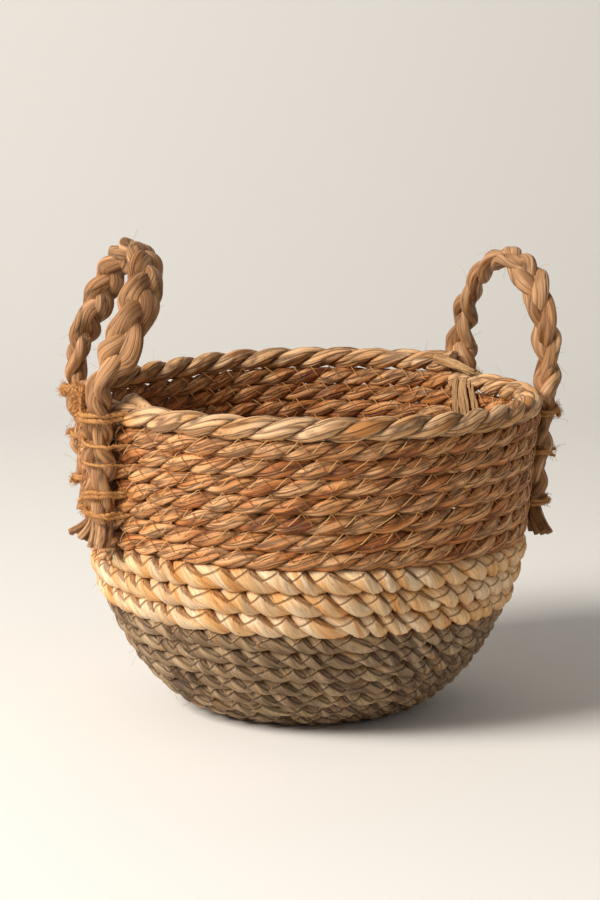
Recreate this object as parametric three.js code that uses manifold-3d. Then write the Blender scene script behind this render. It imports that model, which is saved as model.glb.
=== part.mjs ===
// A round storage basket, coiled from twisted leaf rope, with two plaited loop handles.
//
// One rope path climbs the whole basket as a spiral: flat over the base, up the bowl, up the
// wall and round the rim. Grey, cream and brown stretches of rope follow it end to end, and a
// thicker rope makes the rim. Each handle is a long plait whose two legs are tied to the outside
// of the wall, with a free loop above the rim that bends inwards and outwards where it leaves
// the legs.
//
// Units are millimetres and +Z is up. The origin is the centre of the base, on the floor.

import * as THREE from 'three';
import { mergeVertices } from 'three/addons/utils/BufferGeometryUtils.js';
import Module from 'manifold-3d';

const wasm = await Module();
wasm.setup();

// Driving dimensions: the wall's shape, as the line that the rope's centre follows
const baseFlatRadius = 56;
const bowlFootRun = 40;
const shoulderRadius = 135.4;
const shoulderHeight = 118;
const shoulderPull = 48;
const wallLean = 5.2;
const wallRun = 140;

// Driving dimensions: the ropes, each with half of its thickness between two turns
const greyHalf = 5.6;
const creamHalf = 6.9;
const brownHalf = 5.36;
const rimHalf = 6.8;
const turnGap = 0.5;
const endGap = 0.3;
const floorCutShare = 0.1;
const innerEndRadius = 6.6;
const ropeBlendTurns = 1 / 12;

// Driving dimensions: how many turns each stretch of rope makes
const baseTurns = 5.25;
const greyTurns = 7 + 1 / 6;
const creamTurns = 2.75;
const brownTurns = 7 + 11 / 24;
const rimTurns = 1;
const firstAzimuth = -90;
const stepsPerTurn = 24;
const ropeSides = 6;

// Driving dimensions: the plait of both handles and the bend where a loop leaves its legs
const plaitHalfWidth = 13.4;
const plaitHalfThickness = 6;
const plaitSides = 12;
const seatGap = 0.3;
const hingeStandOff = 1;
const hingeRise = 10.5;
const hingeCupDrop = 4.9;
const legTwistRise = 14;
const loopSteps = 28;
const legSteps = 7;

// How far below the rim rope's centre a leg starts to swing out past the rim, and where it has
// swung out, both in halves of the rim rope's thickness
const swingStart = 2.2;
const swingEnd = 0.5;

// Driving dimensions: the twine ties. They slant one way and the other in turn.
const twineRadius = 1.9;
const twineGap = 0.6;
const tieReach = 18;
const tieSteps = 10;
const tieSlants = [1.5, -1];
const knotRadius = 4.4;
const knotOut = 18.3;

// Driving dimensions: the cut ends of the plaits. The outer strands spread further on the side
// away from the other leg, and lift a little.
const legBelowTie = 3;
const tasselCollar = 3;
const tasselInset = 1;
const tasselStrands = 5;
const strandRadius = 3.1;
const strandGrowth = 0.15;
const strandLift = 2;
const farSideSpread = 0.3;
const outwardSpread = 5;

// Driving dimensions: the leaf strips of the rim rope's spliced tail. A strip clears the rim
// rope's thickest section within its reach, in degrees to either side.
const leafThickness = 1.2;
const leafSteps = 5;
const leafTaper = 0.35;
const leafReach = 2.3;

// The two handles. Azimuths are in degrees from +X, where a leg meets the bend. From there to
// its foot, a leg drifts round the wall by some degrees. A tie's depth is measured down from the
// centre of the rim rope. A loop's route gives, from one bend to the other, the share of the
// span, the lean towards the inside and the rise above the bends. Over its twist run from each
// bend, the plait turns from lying against the wall to lying flat over the top of the loop.
const handles = [
  {
    name: 'left',
    legs: [
      {
        name: 'front',
        azimuth: 217.2,
        drift: -5.4,
        tieDepths: [1, 16.5, 30, 51, 62],
        tasselLength: 19,
        flare: 0.5,
      },
      {
        name: 'rear',
        azimuth: 163.2,
        drift: 0,
        tieDepths: [2, 31, 61],
        tasselLength: 19,
        flare: 0.25,
      },
    ],
    twistRun: 42,
    route: [
      [0, 0, 0],
      [0, 13, 21],
      [0.04, 24, 43],
      [0.218, 33.5, 65],
      [0.507, 32.5, 75.5],
      [0.793, 23.5, 60.5],
      [0.941, 13.5, 36],
      [0.985, 6, 18],
      [1, 0, 0],
    ],
  },
  {
    name: 'right',
    legs: [
      {
        name: 'near',
        azimuth: 8,
        drift: 0,
        tieDepths: [8.5, 36.5, 67],
        tasselLength: 19,
        flare: 0.2,
      },
      {
        name: 'rear',
        azimuth: 48,
        drift: 0,
        tieDepths: [9, 38, 66],
        tasselLength: 19,
        flare: 0.2,
      },
    ],
    twistRun: 105,
    route: [
      [0, 0, 0],
      [-0.01, 3, 18],
      [0.02, 5, 36],
      [0.13, 5, 52],
      [0.34, 4, 63],
      [0.59, 3, 59.5],
      [0.8, 2.5, 44],
      [0.95, 1.5, 18],
      [1, 0, 0],
    ],
  },
];

// The leaf strips of the splice: azimuth in degrees and depth below the rim rope's end, at the
// start and the end of each strip, and its width
const spliceLeaves = [
  { from: [42.4, 9.5], to: [39.5, 43], width: 4 },
  { from: [39.4, 9], to: [34.5, 44], width: 6.5 },
  { from: [36.3, 9.5], to: [29, 38], width: 4.5 },
  { from: [50, -2], to: [33, 5], width: 6 },
];

const sideAngle = Math.PI / ropeSides;
const fullTurn = 2 * Math.PI;
const up = new THREE.Vector3(0, 0, 1);
const radians = THREE.MathUtils.degToRad;

// Rope sections are hexagons with a flat side to each neighbouring turn, so a corner points
// out of the wall, and the distance to a corner follows from the half thickness.
const cornerRadius = (half) => half / Math.cos(sideAngle);
const floorCutDepth = floorCutShare * 2 * greyHalf;
const baseLineHeight = cornerRadius(greyHalf) - floorCutDepth;

// Materials, coloured as dry leaf and husk
function matt(colour) {
  return new THREE.MeshStandardMaterial({ color: colour, roughness: 0.8, metalness: 0 });
}
const greyHusk = matt('#76705c');
const creamHusk = matt('#e2bd83');
const brownLeaf = matt('#b5855a');
const rimLeaf = matt('#c4966a');
const plaitLeaf = matt('#a67c55');
const twine = matt('#b38350');
const paleLeaf = matt('#cda06c');

// The wall's line, from the centre of the base outwards and up, in radius and height
function makeWallLine() {
  const lean = radians(wallLean);
  const climb = new THREE.Vector2(Math.sin(lean), Math.cos(lean));
  const centre = new THREE.Vector2(0, baseLineHeight);
  const foot = new THREE.Vector2(baseFlatRadius, baseLineHeight);
  const footPull = new THREE.Vector2(baseFlatRadius + bowlFootRun, baseLineHeight);
  const shoulder = new THREE.Vector2(shoulderRadius, shoulderHeight);
  const shoulderHold = shoulder.clone().addScaledVector(climb, -shoulderPull);
  const top = shoulder.clone().addScaledVector(climb, wallRun);
  const line = new THREE.CurvePath();
  line.add(new THREE.LineCurve(centre, foot));
  line.add(new THREE.CubicBezierCurve(foot, footPull, shoulderHold, shoulder));
  line.add(new THREE.LineCurve(shoulder, top));
  return line;
}
const wallLine = makeWallLine();
const wallLength = wallLine.getLength();

function wallPoint(distance) {
  return wallLine.getPoint(distance / wallLength);
}

function wallSlope(distance) {
  const tangent = wallLine.getTangent(distance / wallLength);
  return Math.atan2(tangent.y, tangent.x);
}

// Where along the whole path, in turns from the centre, one rope ends and the next begins
const greyStart = baseTurns;
const creamStart = greyStart + greyTurns;
const brownStart = creamStart + creamTurns;
const rimStart = brownStart + brownTurns;
const rimEnd = rimStart + rimTurns;

// Half of the rope's thickness at a turn, eased from one rope to the next at their splice
function halfAt(turn) {
  const half = ropeBlendTurns / 2;
  const eased = (splice) => THREE.MathUtils.smoothstep(turn, splice - half, splice + half);
  return greyHalf
    + (creamHalf - greyHalf) * eased(creamStart)
    + (brownHalf - creamHalf) * eased(brownStart)
    + (rimHalf - brownHalf) * eased(rimStart);
}

// The distance along the wall's line at a turn. Each turn lies on the one below, half of each
// thickness and the gap away. Where the wall bends, the sides of the two sections lean towards
// each other, and the turn moves on until their inner corners keep the gap too.
const knownDistances = new Map();
function distanceAt(turn) {
  if (turn < 1) {
    return innerEndRadius + turn * (2 * greyHalf + turnGap);
  }
  const key = turn.toFixed(6);
  if (!knownDistances.has(key)) {
    const below = distanceAt(turn - 1);
    const pitch = halfAt(turn) + halfAt(turn - 1) + turnGap;
    const bend = wallSlope(below + pitch) - wallSlope(below);
    const halfSide = Math.max(halfAt(turn), halfAt(turn - 1)) * Math.tan(sideAngle);
    knownDistances.set(key, below + pitch + bend * halfSide);
  }
  return knownDistances.get(key);
}

function azimuthAt(turn) {
  return radians(firstAzimuth) - turn * fullTurn;
}

// The rope's centre at a turn, as radius and height
function ropeCentre(turn) {
  return wallPoint(distanceAt(turn));
}

// The points of the rope's section at a turn, in the upright plane through the basket's axis
function ropeRing(turn) {
  const distance = distanceAt(turn);
  const centre = wallPoint(distance);
  const slope = wallSlope(distance);
  const azimuth = azimuthAt(turn);
  const corner = cornerRadius(halfAt(turn));
  const ring = [];
  for (let side = 0; side < ropeSides; side++) {
    const angle = slope - Math.PI / 2 + side * 2 * sideAngle;
    const radius = centre.x + corner * Math.cos(angle);
    const height = centre.y + corner * Math.sin(angle);
    ring.push(new THREE.Vector3(radius * Math.cos(azimuth), radius * Math.sin(azimuth), height));
  }
  return ring;
}

// A closed solid through a row of rings with as many points each, with a flat cap at both ends
function skin(rings) {
  const sides = rings[0].length;
  const index = [];
  for (let ring = 0; ring < rings.length - 1; ring++) {
    for (let side = 0; side < sides; side++) {
      const here = ring * sides + side;
      const next = ring * sides + (side + 1) % sides;
      index.push(here, next, next + sides);
      index.push(here, next + sides, here + sides);
    }
  }
  const last = (rings.length - 1) * sides;
  for (let side = 1; side < sides - 1; side++) {
    index.push(0, side + 1, side);
    index.push(last, last + side, last + side + 1);
  }
  const points = rings.flat();
  let volume = 0;
  for (let corner = 0; corner < index.length; corner += 3) {
    const [a, b, c] = [points[index[corner]], points[index[corner + 1]], points[index[corner + 2]]];
    volume += a.dot(new THREE.Vector3().crossVectors(b, c));
  }
  if (volume < 0) {
    index.reverse();
  }
  const geometry = new THREE.BufferGeometry();
  const values = points.flatMap((point) => point.toArray());
  geometry.setAttribute('position', new THREE.Float32BufferAttribute(values, 3));
  geometry.setIndex(index);
  geometry.computeVertexNormals();
  return geometry;
}

// Solids for joining and cutting, and back
function toSolid(geometry) {
  const bare = geometry.clone();
  bare.deleteAttribute('normal');
  bare.deleteAttribute('uv');
  const merged = mergeVertices(bare, 1e-4);
  return new wasm.Manifold(new wasm.Mesh({
    numProp: 3,
    vertProperties: new Float32Array(merged.attributes.position.array),
    triVerts: new Uint32Array(merged.index.array),
  }));
}

function toGeometry(solid) {
  const mesh = solid.getMesh();
  const geometry = new THREE.BufferGeometry();
  geometry.setAttribute('position', new THREE.BufferAttribute(new Float32Array(mesh.vertProperties), 3));
  geometry.setIndex(new THREE.BufferAttribute(new Uint32Array(mesh.triVerts), 1));
  geometry.computeVertexNormals();
  return geometry;
}

function addMesh(parent, name, geometry, material) {
  const mesh = new THREE.Mesh(geometry, material);
  mesh.name = name;
  parent.add(mesh);
  return mesh;
}

// The least distance between points of one rope's turns, half a turn or more apart
function leastGap(rings) {
  let least = Infinity;
  for (let early = 0; early < rings.length; early++) {
    for (let late = early + stepsPerTurn / 2; late < rings.length; late++) {
      for (const a of rings[early]) {
        for (const b of rings[late]) {
          least = Math.min(least, a.distanceToSquared(b));
        }
      }
    }
  }
  return Math.sqrt(least);
}

// One stretch of rope as an unbroken tube, its end faces square to the neighbouring stretch
function ropeRings(startTurn, endTurn) {
  const steps = Math.round((endTurn - startTurn) * stepsPerTurn);
  const rings = [];
  for (let step = 0; step <= steps; step++) {
    let turn = startTurn + (endTurn - startTurn) * step / steps;
    const halfGapTurns = endGap / 2 / (fullTurn * ropeCentre(turn).x);
    if (step === 0) {
      turn += halfGapTurns;
    }
    if (step === steps) {
      turn -= halfGapTurns;
    }
    rings.push(ropeRing(turn));
  }
  return rings;
}

function addRope(parent, name, startTurn, endTurn, material) {
  const rings = ropeRings(startTurn, endTurn);
  const gap = leastGap(rings);
  if (Number.isFinite(gap)) {
    console.log(`${name}: least gap between its turns ${gap.toFixed(2)} mm`);
  }
  return addMesh(parent, name, skin(rings), material);
}

// The base's rope is cut flat along the floor, so the basket stands on a band of every turn
function cutAtFloor(mesh) {
  mesh.geometry = toGeometry(toSolid(mesh.geometry).trimByPlane([0, 0, 1], 0));
}

// An oval section across a plait: the width lies along one direction and the thickness along
// the other
function oval(centre, wide, thick, halfWidth, halfThickness, sides) {
  const ring = [];
  for (let side = 0; side < sides; side++) {
    const angle = side / sides * fullTurn;
    ring.push(centre.clone()
      .addScaledVector(wide, halfWidth * Math.cos(angle))
      .addScaledVector(thick, halfThickness * Math.sin(angle)));
  }
  return ring;
}

// The turn at which the rim rope passes an azimuth in degrees, and its centre there, as radius
// and height
function rimTurn(azimuth) {
  const degreesOn = THREE.MathUtils.euclideanModulo(firstAzimuth - 360 * rimStart - azimuth, 360);
  return rimStart + degreesOn / 360;
}

function rimAt(azimuth) {
  return ropeCentre(rimTurn(azimuth));
}

// A loop bends about a line that stands clear of the rim's outside and of its highest part
const rimOuterReach = cornerRadius(rimHalf);
const hingeHeight = ropeCentre(rimEnd).y + hingeRise;
const hingeOutset = rimOuterReach + seatGap + plaitHalfThickness + hingeStandOff;

function bendPoint(leg) {
  const radius = rimAt(leg.azimuth).x + hingeOutset;
  const azimuth = radians(leg.azimuth);
  return new THREE.Vector3(radius * Math.cos(azimuth), radius * Math.sin(azimuth), hingeHeight);
}

// The rounded end that a loop turns on, longest along the bend line, with a margin all round
function bendEnd(margin) {
  const shape = new THREE.SphereGeometry(1, 16, 8);
  shape.rotateZ(Math.PI / 2);
  shape.rotateX(Math.PI / 2);
  shape.scale(plaitHalfWidth + margin, plaitHalfThickness + margin, plaitHalfThickness + margin);
  return shape;
}

// A handle's free loop, in a group at the middle of its bend line: X runs along the line from
// the first leg to the second, Y points to the inside of the basket and Z up
function addLoop(parent, handle) {
  const first = bendPoint(handle.legs[0]);
  const second = bendPoint(handle.legs[1]);
  const span = first.distanceTo(second);
  const middle = first.clone().add(second).divideScalar(2);
  const line = second.clone().sub(first).normalize();
  const facesIn = new THREE.Vector3().crossVectors(up, line).dot(middle) < 0;
  const group = new THREE.Group();
  group.position.copy(middle);
  group.rotation.z = Math.atan2(line.y, line.x);
  parent.add(group);
  const side = facesIn ? 1 : -1;
  const route = handle.route.map(([share, lean, rise]) => (
    new THREE.Vector3((share - 0.5) * span, side * lean, rise)));
  const curve = new THREE.CatmullRomCurve3(route, false, 'centripetal');
  const length = curve.getLength();
  const free = handle.route.filter(([, , rise]) => rise > 0);
  const strongestLean = Math.max(...free.map(([, lean, rise]) => Math.atan2(lean, rise)));
  const across = new THREE.Vector3(0, Math.cos(strongestLean), -side * Math.sin(strongestLean));
  const rings = [];
  for (let step = 0; step <= loopSteps; step++) {
    const share = step / loopSteps;
    const along = curve.getTangentAt(share);
    const inPlane = new THREE.Vector3().crossVectors(across, along).normalize();
    const outOfPlane = new THREE.Vector3().crossVectors(along, inPlane);
    const fromEnd = Math.min(share, 1 - share) * length;
    const twist = Math.PI / 2 * THREE.MathUtils.smoothstep(fromEnd, 0, handle.twistRun);
    const wide = inPlane.multiplyScalar(Math.cos(twist)).addScaledVector(outOfPlane, Math.sin(twist));
    const thick = new THREE.Vector3().crossVectors(along, wide);
    const centre = curve.getPointAt(share);
    rings.push(oval(centre, wide, thick, plaitHalfWidth, plaitHalfThickness, plaitSides));
  }
  let solid = toSolid(skin(rings));
  for (const end of [-1, 1]) {
    const rounded = bendEnd(0).translate(end * span / 2, 0, 0);
    solid = solid.add(toSolid(rounded));
  }
  addMesh(group, `${handle.name}_handle_loop`, toGeometry(solid), plaitLeaf);
  const round = (point) => point.toArray().map((value) => value.toFixed(2)).join(', ');
  console.log(`${handle.name} handle bends about the line ${round(first)} to ${round(second)}`);
}

// How far out a leg's centre lies at a height: on the wall's rope below the rim, on the rim
// rope beside it, and on the bend line at the top
function legRadius(leg, height) {
  const rim = rimAt(leg.azimuth);
  const onWall = (level) => shoulderRadius + (level - shoulderHeight) * Math.tan(radians(wallLean))
    + cornerRadius(brownHalf) + seatGap + plaitHalfThickness;
  const onRim = rim.x + rimOuterReach + seatGap + plaitHalfThickness;
  const underRim = rim.y - swingStart * rimHalf;
  if (height <= underRim) {
    return onWall(height);
  }
  if (height <= rim.y) {
    const share = THREE.MathUtils.smoothstep(height, underRim, rim.y - swingEnd * rimHalf);
    return THREE.MathUtils.lerp(onWall(height), onRim, share);
  }
  return THREE.MathUtils.mapLinear(height, rim.y, hingeHeight, onRim, rim.x + hingeOutset);
}

// The height of a leg's lower end
function legFoot(leg) {
  return rimAt(leg.azimuth).y - Math.max(...leg.tieDepths) - legBelowTie;
}

// A group turned to where a leg passes a height: X points out of the basket and Y runs along
// the wall
function legGroup(parent, leg, height) {
  const share = (hingeHeight - height) / (hingeHeight - legFoot(leg));
  const group = new THREE.Group();
  group.rotation.z = radians(leg.azimuth + leg.drift * share);
  parent.add(group);
  return group;
}

// A leg with its ties and its cut end
function addLeg(parent, handle, leg, lineAngle) {
  const group = legGroup(parent, leg, hingeHeight);
  const label = `${handle.name}_${leg.name}`;
  const rimHeight = rimAt(leg.azimuth).y;
  const foot = legFoot(leg);
  let twistAtTop = lineAngle - radians(leg.azimuth) - Math.PI / 2;
  twistAtTop -= Math.PI * Math.round(twistAtTop / Math.PI);

  const rings = [];
  const heights = [];
  for (let step = 0; step <= legSteps; step++) {
    heights.push(THREE.MathUtils.lerp(foot, hingeHeight - legTwistRise, step / legSteps));
  }
  heights.push(hingeHeight - legTwistRise / 2, hingeHeight);
  for (const height of heights) {
    const drift = radians(leg.drift * (hingeHeight - height) / (hingeHeight - foot));
    const free = THREE.MathUtils.smoothstep(height, hingeHeight - legTwistRise, hingeHeight);
    const twist = drift + twistAtTop * free;
    const wide = new THREE.Vector3(-Math.sin(twist), Math.cos(twist), 0);
    const thick = new THREE.Vector3(Math.cos(twist), Math.sin(twist), 0);
    const centre = new THREE.Vector3(Math.cos(drift), Math.sin(drift), 0)
      .multiplyScalar(legRadius(leg, height))
      .setZ(height);
    rings.push(oval(centre, wide, thick, plaitHalfWidth, plaitHalfThickness, plaitSides));
  }
  const cup = bendEnd(endGap);
  cup.rotateZ(lineAngle - radians(leg.azimuth));
  cup.translate(legRadius(leg, hingeHeight), 0, hingeHeight);
  const leg3d = toSolid(skin(rings))
    .trimByPlane([0, 0, -1], -(hingeHeight - hingeCupDrop))
    .subtract(toSolid(cup));
  addMesh(group, `${label}_leg`, toGeometry(leg3d), plaitLeaf);

  leg.tieDepths.forEach((depth, tie) => {
    const height = rimHeight - depth;
    addTie(legGroup(parent, leg, height), `${label}_tie_${tie + 1}`, leg, height, tie);
  });
  addTassel(legGroup(parent, leg, foot), `${label}_tassel`, leg, foot);
}

// A turn of twine round the outer side of a leg, slanting a little, with its knot at one end
function addTie(group, name, leg, height, count) {
  const halfAcross = plaitHalfWidth + twineGap + twineRadius;
  const halfOut = plaitHalfThickness + twineGap + twineRadius;
  const centre = new THREE.Vector3(legRadius(leg, height), 0, height);
  const slant = tieSlants[count % 2];
  const reach = radians(tieReach);
  const rings = [];
  for (let step = 0; step <= tieSteps; step++) {
    const angle = -reach + (Math.PI + 2 * reach) * step / tieSteps;
    const [sine, cosine] = [Math.sin(angle), Math.cos(angle)];
    const point = new THREE.Vector3(halfOut * sine, halfAcross * cosine, slant * cosine);
    const along = new THREE.Vector3(halfOut * cosine, -halfAcross * sine, 0).normalize();
    const outwards = new THREE.Vector3().crossVectors(along, up);
    rings.push(oval(point.add(centre), outwards, up, twineRadius, twineRadius, ropeSides));
  }
  const knot = new THREE.IcosahedronGeometry(knotRadius, 1);
  knot.translate(centre.x, -knotOut, height - slant);
  addMesh(group, name, toGeometry(toSolid(skin(rings)).add(toSolid(knot))), twine);
}

// The unplaited strands below the lowest tie, spreading from a short collar
function addTassel(group, name, leg, foot) {
  const top = foot - endGap;
  const centre = legRadius(leg, foot);
  const across = new THREE.Vector3(0, 1, 0);
  const out = new THREE.Vector3(1, 0, 0);
  const collarHalfWidth = plaitHalfWidth - tasselInset;
  const collarHalfThickness = plaitHalfThickness - tasselInset;
  const collar = [top, top - tasselCollar].map((height) => {
    const middle = new THREE.Vector3(centre, 0, height);
    return oval(middle, across, out, collarHalfWidth, collarHalfThickness, plaitSides);
  });
  let solid = toSolid(skin(collar));
  for (let strand = 0; strand < tasselStrands; strand++) {
    const place = strand / (tasselStrands - 1) * 2 - 1;
    const spread = place < 0 ? leg.flare : leg.flare * farSideSpread;
    const start = new THREE.Vector3(centre, place * (collarHalfWidth - strandRadius), top - tasselInset);
    const end = new THREE.Vector3(
      centre + tasselInset + outwardSpread * leg.flare * Math.abs(place),
      place * (plaitHalfWidth - strandRadius + spread * leg.tasselLength),
      top - leg.tasselLength + strandLift * Math.abs(place),
    );
    const sections = [start, end].map((point, which) => (
      oval(point, across, out, strandRadius * (1 + strandGrowth * which), strandRadius, ropeSides)));
    solid = solid.add(toSolid(skin(sections)));
  }
  addMesh(group, name, toGeometry(solid), plaitLeaf);
}

// How far a rope's straight steps lie inside the circle through their ends, at the worst place
// on a strip of some width at an azimuth in degrees
function stepDip(radius, azimuth, width) {
  const step = 360 / stepsPerTurn;
  const halfStrip = THREE.MathUtils.radToDeg(width / 2 / radius);
  const dips = [azimuth - halfStrip, azimuth, azimuth + halfStrip].map((place) => {
    const fromMiddle = THREE.MathUtils.euclideanModulo(place - firstAzimuth, step) - step / 2;
    return radius * (1 - Math.cos(radians(step / 2)) / Math.cos(radians(fromMiddle)));
  });
  return Math.max(...dips);
}

// A flat leaf strip that hangs down the inside, laid over the rim rope
function addLeaf(parent, name, leaf) {
  const rings = [];
  const rimHeight = ropeCentre(rimEnd).y;
  const place = (share) => {
    const degrees = THREE.MathUtils.lerp(leaf.from[0], leaf.to[0], share);
    const height = rimHeight - THREE.MathUtils.lerp(leaf.from[1], leaf.to[1], share);
    const onLine = shoulderRadius + (height - shoulderHeight) * Math.tan(radians(wallLean));
    const nearby = [degrees - leafReach, degrees, degrees + leafReach];
    const thickest = Math.max(...nearby.map((azimuth) => halfAt(rimTurn(azimuth))));
    const clearance = cornerRadius(thickest) + seatGap + leafThickness / 2;
    const radius = onLine - clearance - stepDip(onLine, degrees, leaf.width);
    const azimuth = radians(degrees);
    return new THREE.Vector3(radius * Math.cos(azimuth), radius * Math.sin(azimuth), height);
  };
  for (let step = 0; step <= leafSteps; step++) {
    const share = step / leafSteps;
    const centre = place(share);
    const along = place(share + 0.01).sub(place(share - 0.01)).normalize();
    const out = new THREE.Vector3(centre.x, centre.y, 0).normalize();
    const wide = new THREE.Vector3().crossVectors(along, out).normalize();
    const thick = new THREE.Vector3().crossVectors(wide, along);
    const corners = [[1, 1], [-1, 1], [-1, -1], [1, -1]];
    const taper = 1 - leafTaper * share;
    rings.push(corners.map(([w, t]) => centre.clone()
      .addScaledVector(wide, w * taper * leaf.width / 2)
      .addScaledVector(thick, t * leafThickness / 2)));
  }
  addMesh(parent, name, skin(rings), paleLeaf);
}

const basket = new THREE.Group();
basket.name = 'basket';

const baseCoil = addRope(basket, 'base_coil', 0, greyStart, greyHusk);
cutAtFloor(baseCoil);
addRope(basket, 'grey_coil', greyStart, creamStart, greyHusk);
addRope(basket, 'cream_coil', creamStart, brownStart, creamHusk);
addRope(basket, 'brown_coil', brownStart, rimStart, brownLeaf);
addRope(basket, 'rim_rope', rimStart, rimEnd, rimLeaf);
const rimFront = rimAt(firstAzimuth);
console.log(`rim rope's centre at the front: ${rimFront.x.toFixed(1)} out, ${rimFront.y.toFixed(1)} up`);

spliceLeaves.forEach((leaf, count) => {
  addLeaf(basket, `splice_leaf_${count + 1}`, leaf);
});

for (const handle of handles) {
  const line = bendPoint(handle.legs[1]).sub(bendPoint(handle.legs[0]));
  const lineAngle = Math.atan2(line.y, line.x);
  addLoop(basket, handle);
  for (const leg of handle.legs) {
    addLeg(basket, handle, leg, lineAngle);
  }
}

export default basket;
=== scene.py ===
# %% [markdown]
# # A coiled leaf-rope basket with two plaited handles
#
# The basket is one long rope path that winds from the centre of the base out to the rim. Grey and
# cream stretches are maize husk, the brown stretch and the rim are twisted leaf. A zigzag thread
# sews each turn to the one below. Each handle is a flat plait of three leaf strands, tied to the
# outside of the wall with jute twine. Everything that follows a path is made with Geometry Nodes,
# because the real thing is made the same way: one short rule, repeated along a line.

# %% Load the frame
import math
import random
from functools import partial

import bpy
import numpy as np
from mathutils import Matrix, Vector


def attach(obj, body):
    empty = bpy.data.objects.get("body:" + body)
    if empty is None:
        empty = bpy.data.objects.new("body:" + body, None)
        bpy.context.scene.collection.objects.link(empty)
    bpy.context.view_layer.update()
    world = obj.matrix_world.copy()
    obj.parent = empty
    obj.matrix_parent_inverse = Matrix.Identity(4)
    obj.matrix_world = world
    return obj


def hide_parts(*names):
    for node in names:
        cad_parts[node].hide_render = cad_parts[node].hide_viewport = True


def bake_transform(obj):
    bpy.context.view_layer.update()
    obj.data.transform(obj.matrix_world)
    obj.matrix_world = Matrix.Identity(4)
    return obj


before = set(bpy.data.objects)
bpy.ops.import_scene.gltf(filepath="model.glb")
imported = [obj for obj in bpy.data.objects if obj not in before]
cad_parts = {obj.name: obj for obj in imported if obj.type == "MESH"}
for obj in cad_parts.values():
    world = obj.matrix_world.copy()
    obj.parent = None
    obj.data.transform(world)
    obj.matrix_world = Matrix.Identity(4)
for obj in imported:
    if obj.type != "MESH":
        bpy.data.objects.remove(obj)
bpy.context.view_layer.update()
scene = bpy.context.scene
MM = 0.001
print("nodes in the frame:", len(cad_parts))

# %% [markdown]
# ## Camera
#
# The photograph looks down a little at the basket from the front, through a long lens. Distance,
# height, pitch and focal length come from fitting the basket's outline and the heights of its
# rows, so the camera needs no shift.

# %% Camera
CAMERA_PLACE = (-4.4, -1607.0, 433.0)
CAMERA_PITCH_DOWN = 9.49
FOCAL_PIXELS = 2537
PICTURE_HEIGHT = 900
SENSOR = 36.0

camera = bpy.data.cameras.new("camera")
camera.sensor_width = SENSOR
camera.lens = FOCAL_PIXELS * SENSOR / PICTURE_HEIGHT
camera.clip_end = 50
camera_object = bpy.data.objects.new("camera", camera)
camera_object.location = Vector(CAMERA_PLACE) * MM
camera_object.rotation_euler = (math.radians(90 - CAMERA_PITCH_DOWN), 0, 0)
scene.collection.objects.link(camera_object)
scene.camera = camera_object
print("lens", round(camera.lens, 1), "mm")

# %% [markdown]
# ## Two helpers
#
# Colours are written as sRGB hex values, as a paint chart gives them, and turned to the linear
# values that Blender works in. One function adds a node to any tree, sets it up and links it.

# %% Helpers for colours and nodes
def linear(code):
    """A linear RGBA colour from an sRGB hex value."""
    channels = [int(code[start:start + 2], 16) / 255 for start in (1, 3, 5)]
    return [c / 12.92 if c <= 0.04045 else ((c + 0.055) / 1.055) ** 2.4 for c in channels] + [1]


def add_node(tree, kind, inputs=(), **settings):
    """Adds a node with its settings. Its inputs come as a list in their order, or by name or
    number. Each is a value, a socket to link, or a node, which stands for its first output."""
    made = tree.nodes.new(kind)
    for name, value in settings.items():
        setattr(made, name, value)
    pairs = inputs.items() if isinstance(inputs, dict) else enumerate(inputs)
    for socket, value in pairs:
        if isinstance(value, bpy.types.Node):
            value = value.outputs[0]
        if isinstance(value, bpy.types.NodeSocket):
            tree.links.new(value, made.inputs[socket])
        else:
            made.inputs[socket].default_value = value
    return made


# %% [markdown]
# ## Floor, backdrop and light
#
# The object is what matters, so the floor is a plain pale sheet that curves up into a backdrop,
# as in a product studio. One large soft lamp stands at the upper left of the camera, a weaker one
# fills from the right, and the world gives an even base.

# %% Floor and backdrop
FLOOR_HALF_WIDTH = 6.0
FLOOR_FRONT = -4.0
SWEEP_START = 1.2
SWEEP_RADIUS = 1.0
SWEEP_STEPS = 16
WALL_TOP = 5.0


def make_sweep():
    """A floor sheet that bends up into a wall behind the object."""
    line = [(FLOOR_FRONT, 0.0), (SWEEP_START, 0.0)]
    for step in range(1, SWEEP_STEPS + 1):
        angle = math.pi / 2 * step / SWEEP_STEPS
        line.append((SWEEP_START + SWEEP_RADIUS * math.sin(angle), SWEEP_RADIUS * (1 - math.cos(angle))))
    line.append((SWEEP_START + SWEEP_RADIUS, WALL_TOP))
    points = [(x, y, z) for y, z in line for x in (-FLOOR_HALF_WIDTH, FLOOR_HALF_WIDTH)]
    faces = [(2 * k, 2 * k + 1, 2 * k + 3, 2 * k + 2) for k in range(len(line) - 1)]
    mesh = bpy.data.meshes.new("sweep")
    mesh.from_pydata(points, [], faces)
    mesh.shade_smooth()
    sweep = bpy.data.objects.new("sweep", mesh)
    scene.collection.objects.link(sweep)
    return sweep


def painted_board(name, colour):
    """Matt painted board: no gloss, so it shows only the light and the object's shadow."""
    material = bpy.data.materials.new(name)
    material.use_nodes = True
    shader = material.node_tree.nodes["Principled BSDF"]
    shader.inputs["Base Color"].default_value = linear(colour)
    shader.inputs["Roughness"].default_value = 0.9
    shader.inputs["Specular IOR Level"].default_value = 0.1
    return material


floor = make_sweep()
floor.data.materials.append(painted_board("painted_board_pale_grey", "#ecebe8"))

# %% Lamps and world
KEY_PLACE = (-2.0, -1.2, 1.8)
KEY_SIZE = 1.3
KEY_WATTS = 118
FILL_PLACE = (2.0, -1.4, 1.0)
FILL_SIZE = 2.0
FILL_WATTS = 3
WORLD_STRENGTH = 0.24
LAMP_COLOUR = "#fff8f0"
AIM = Vector((0, 0, 0.12))


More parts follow.
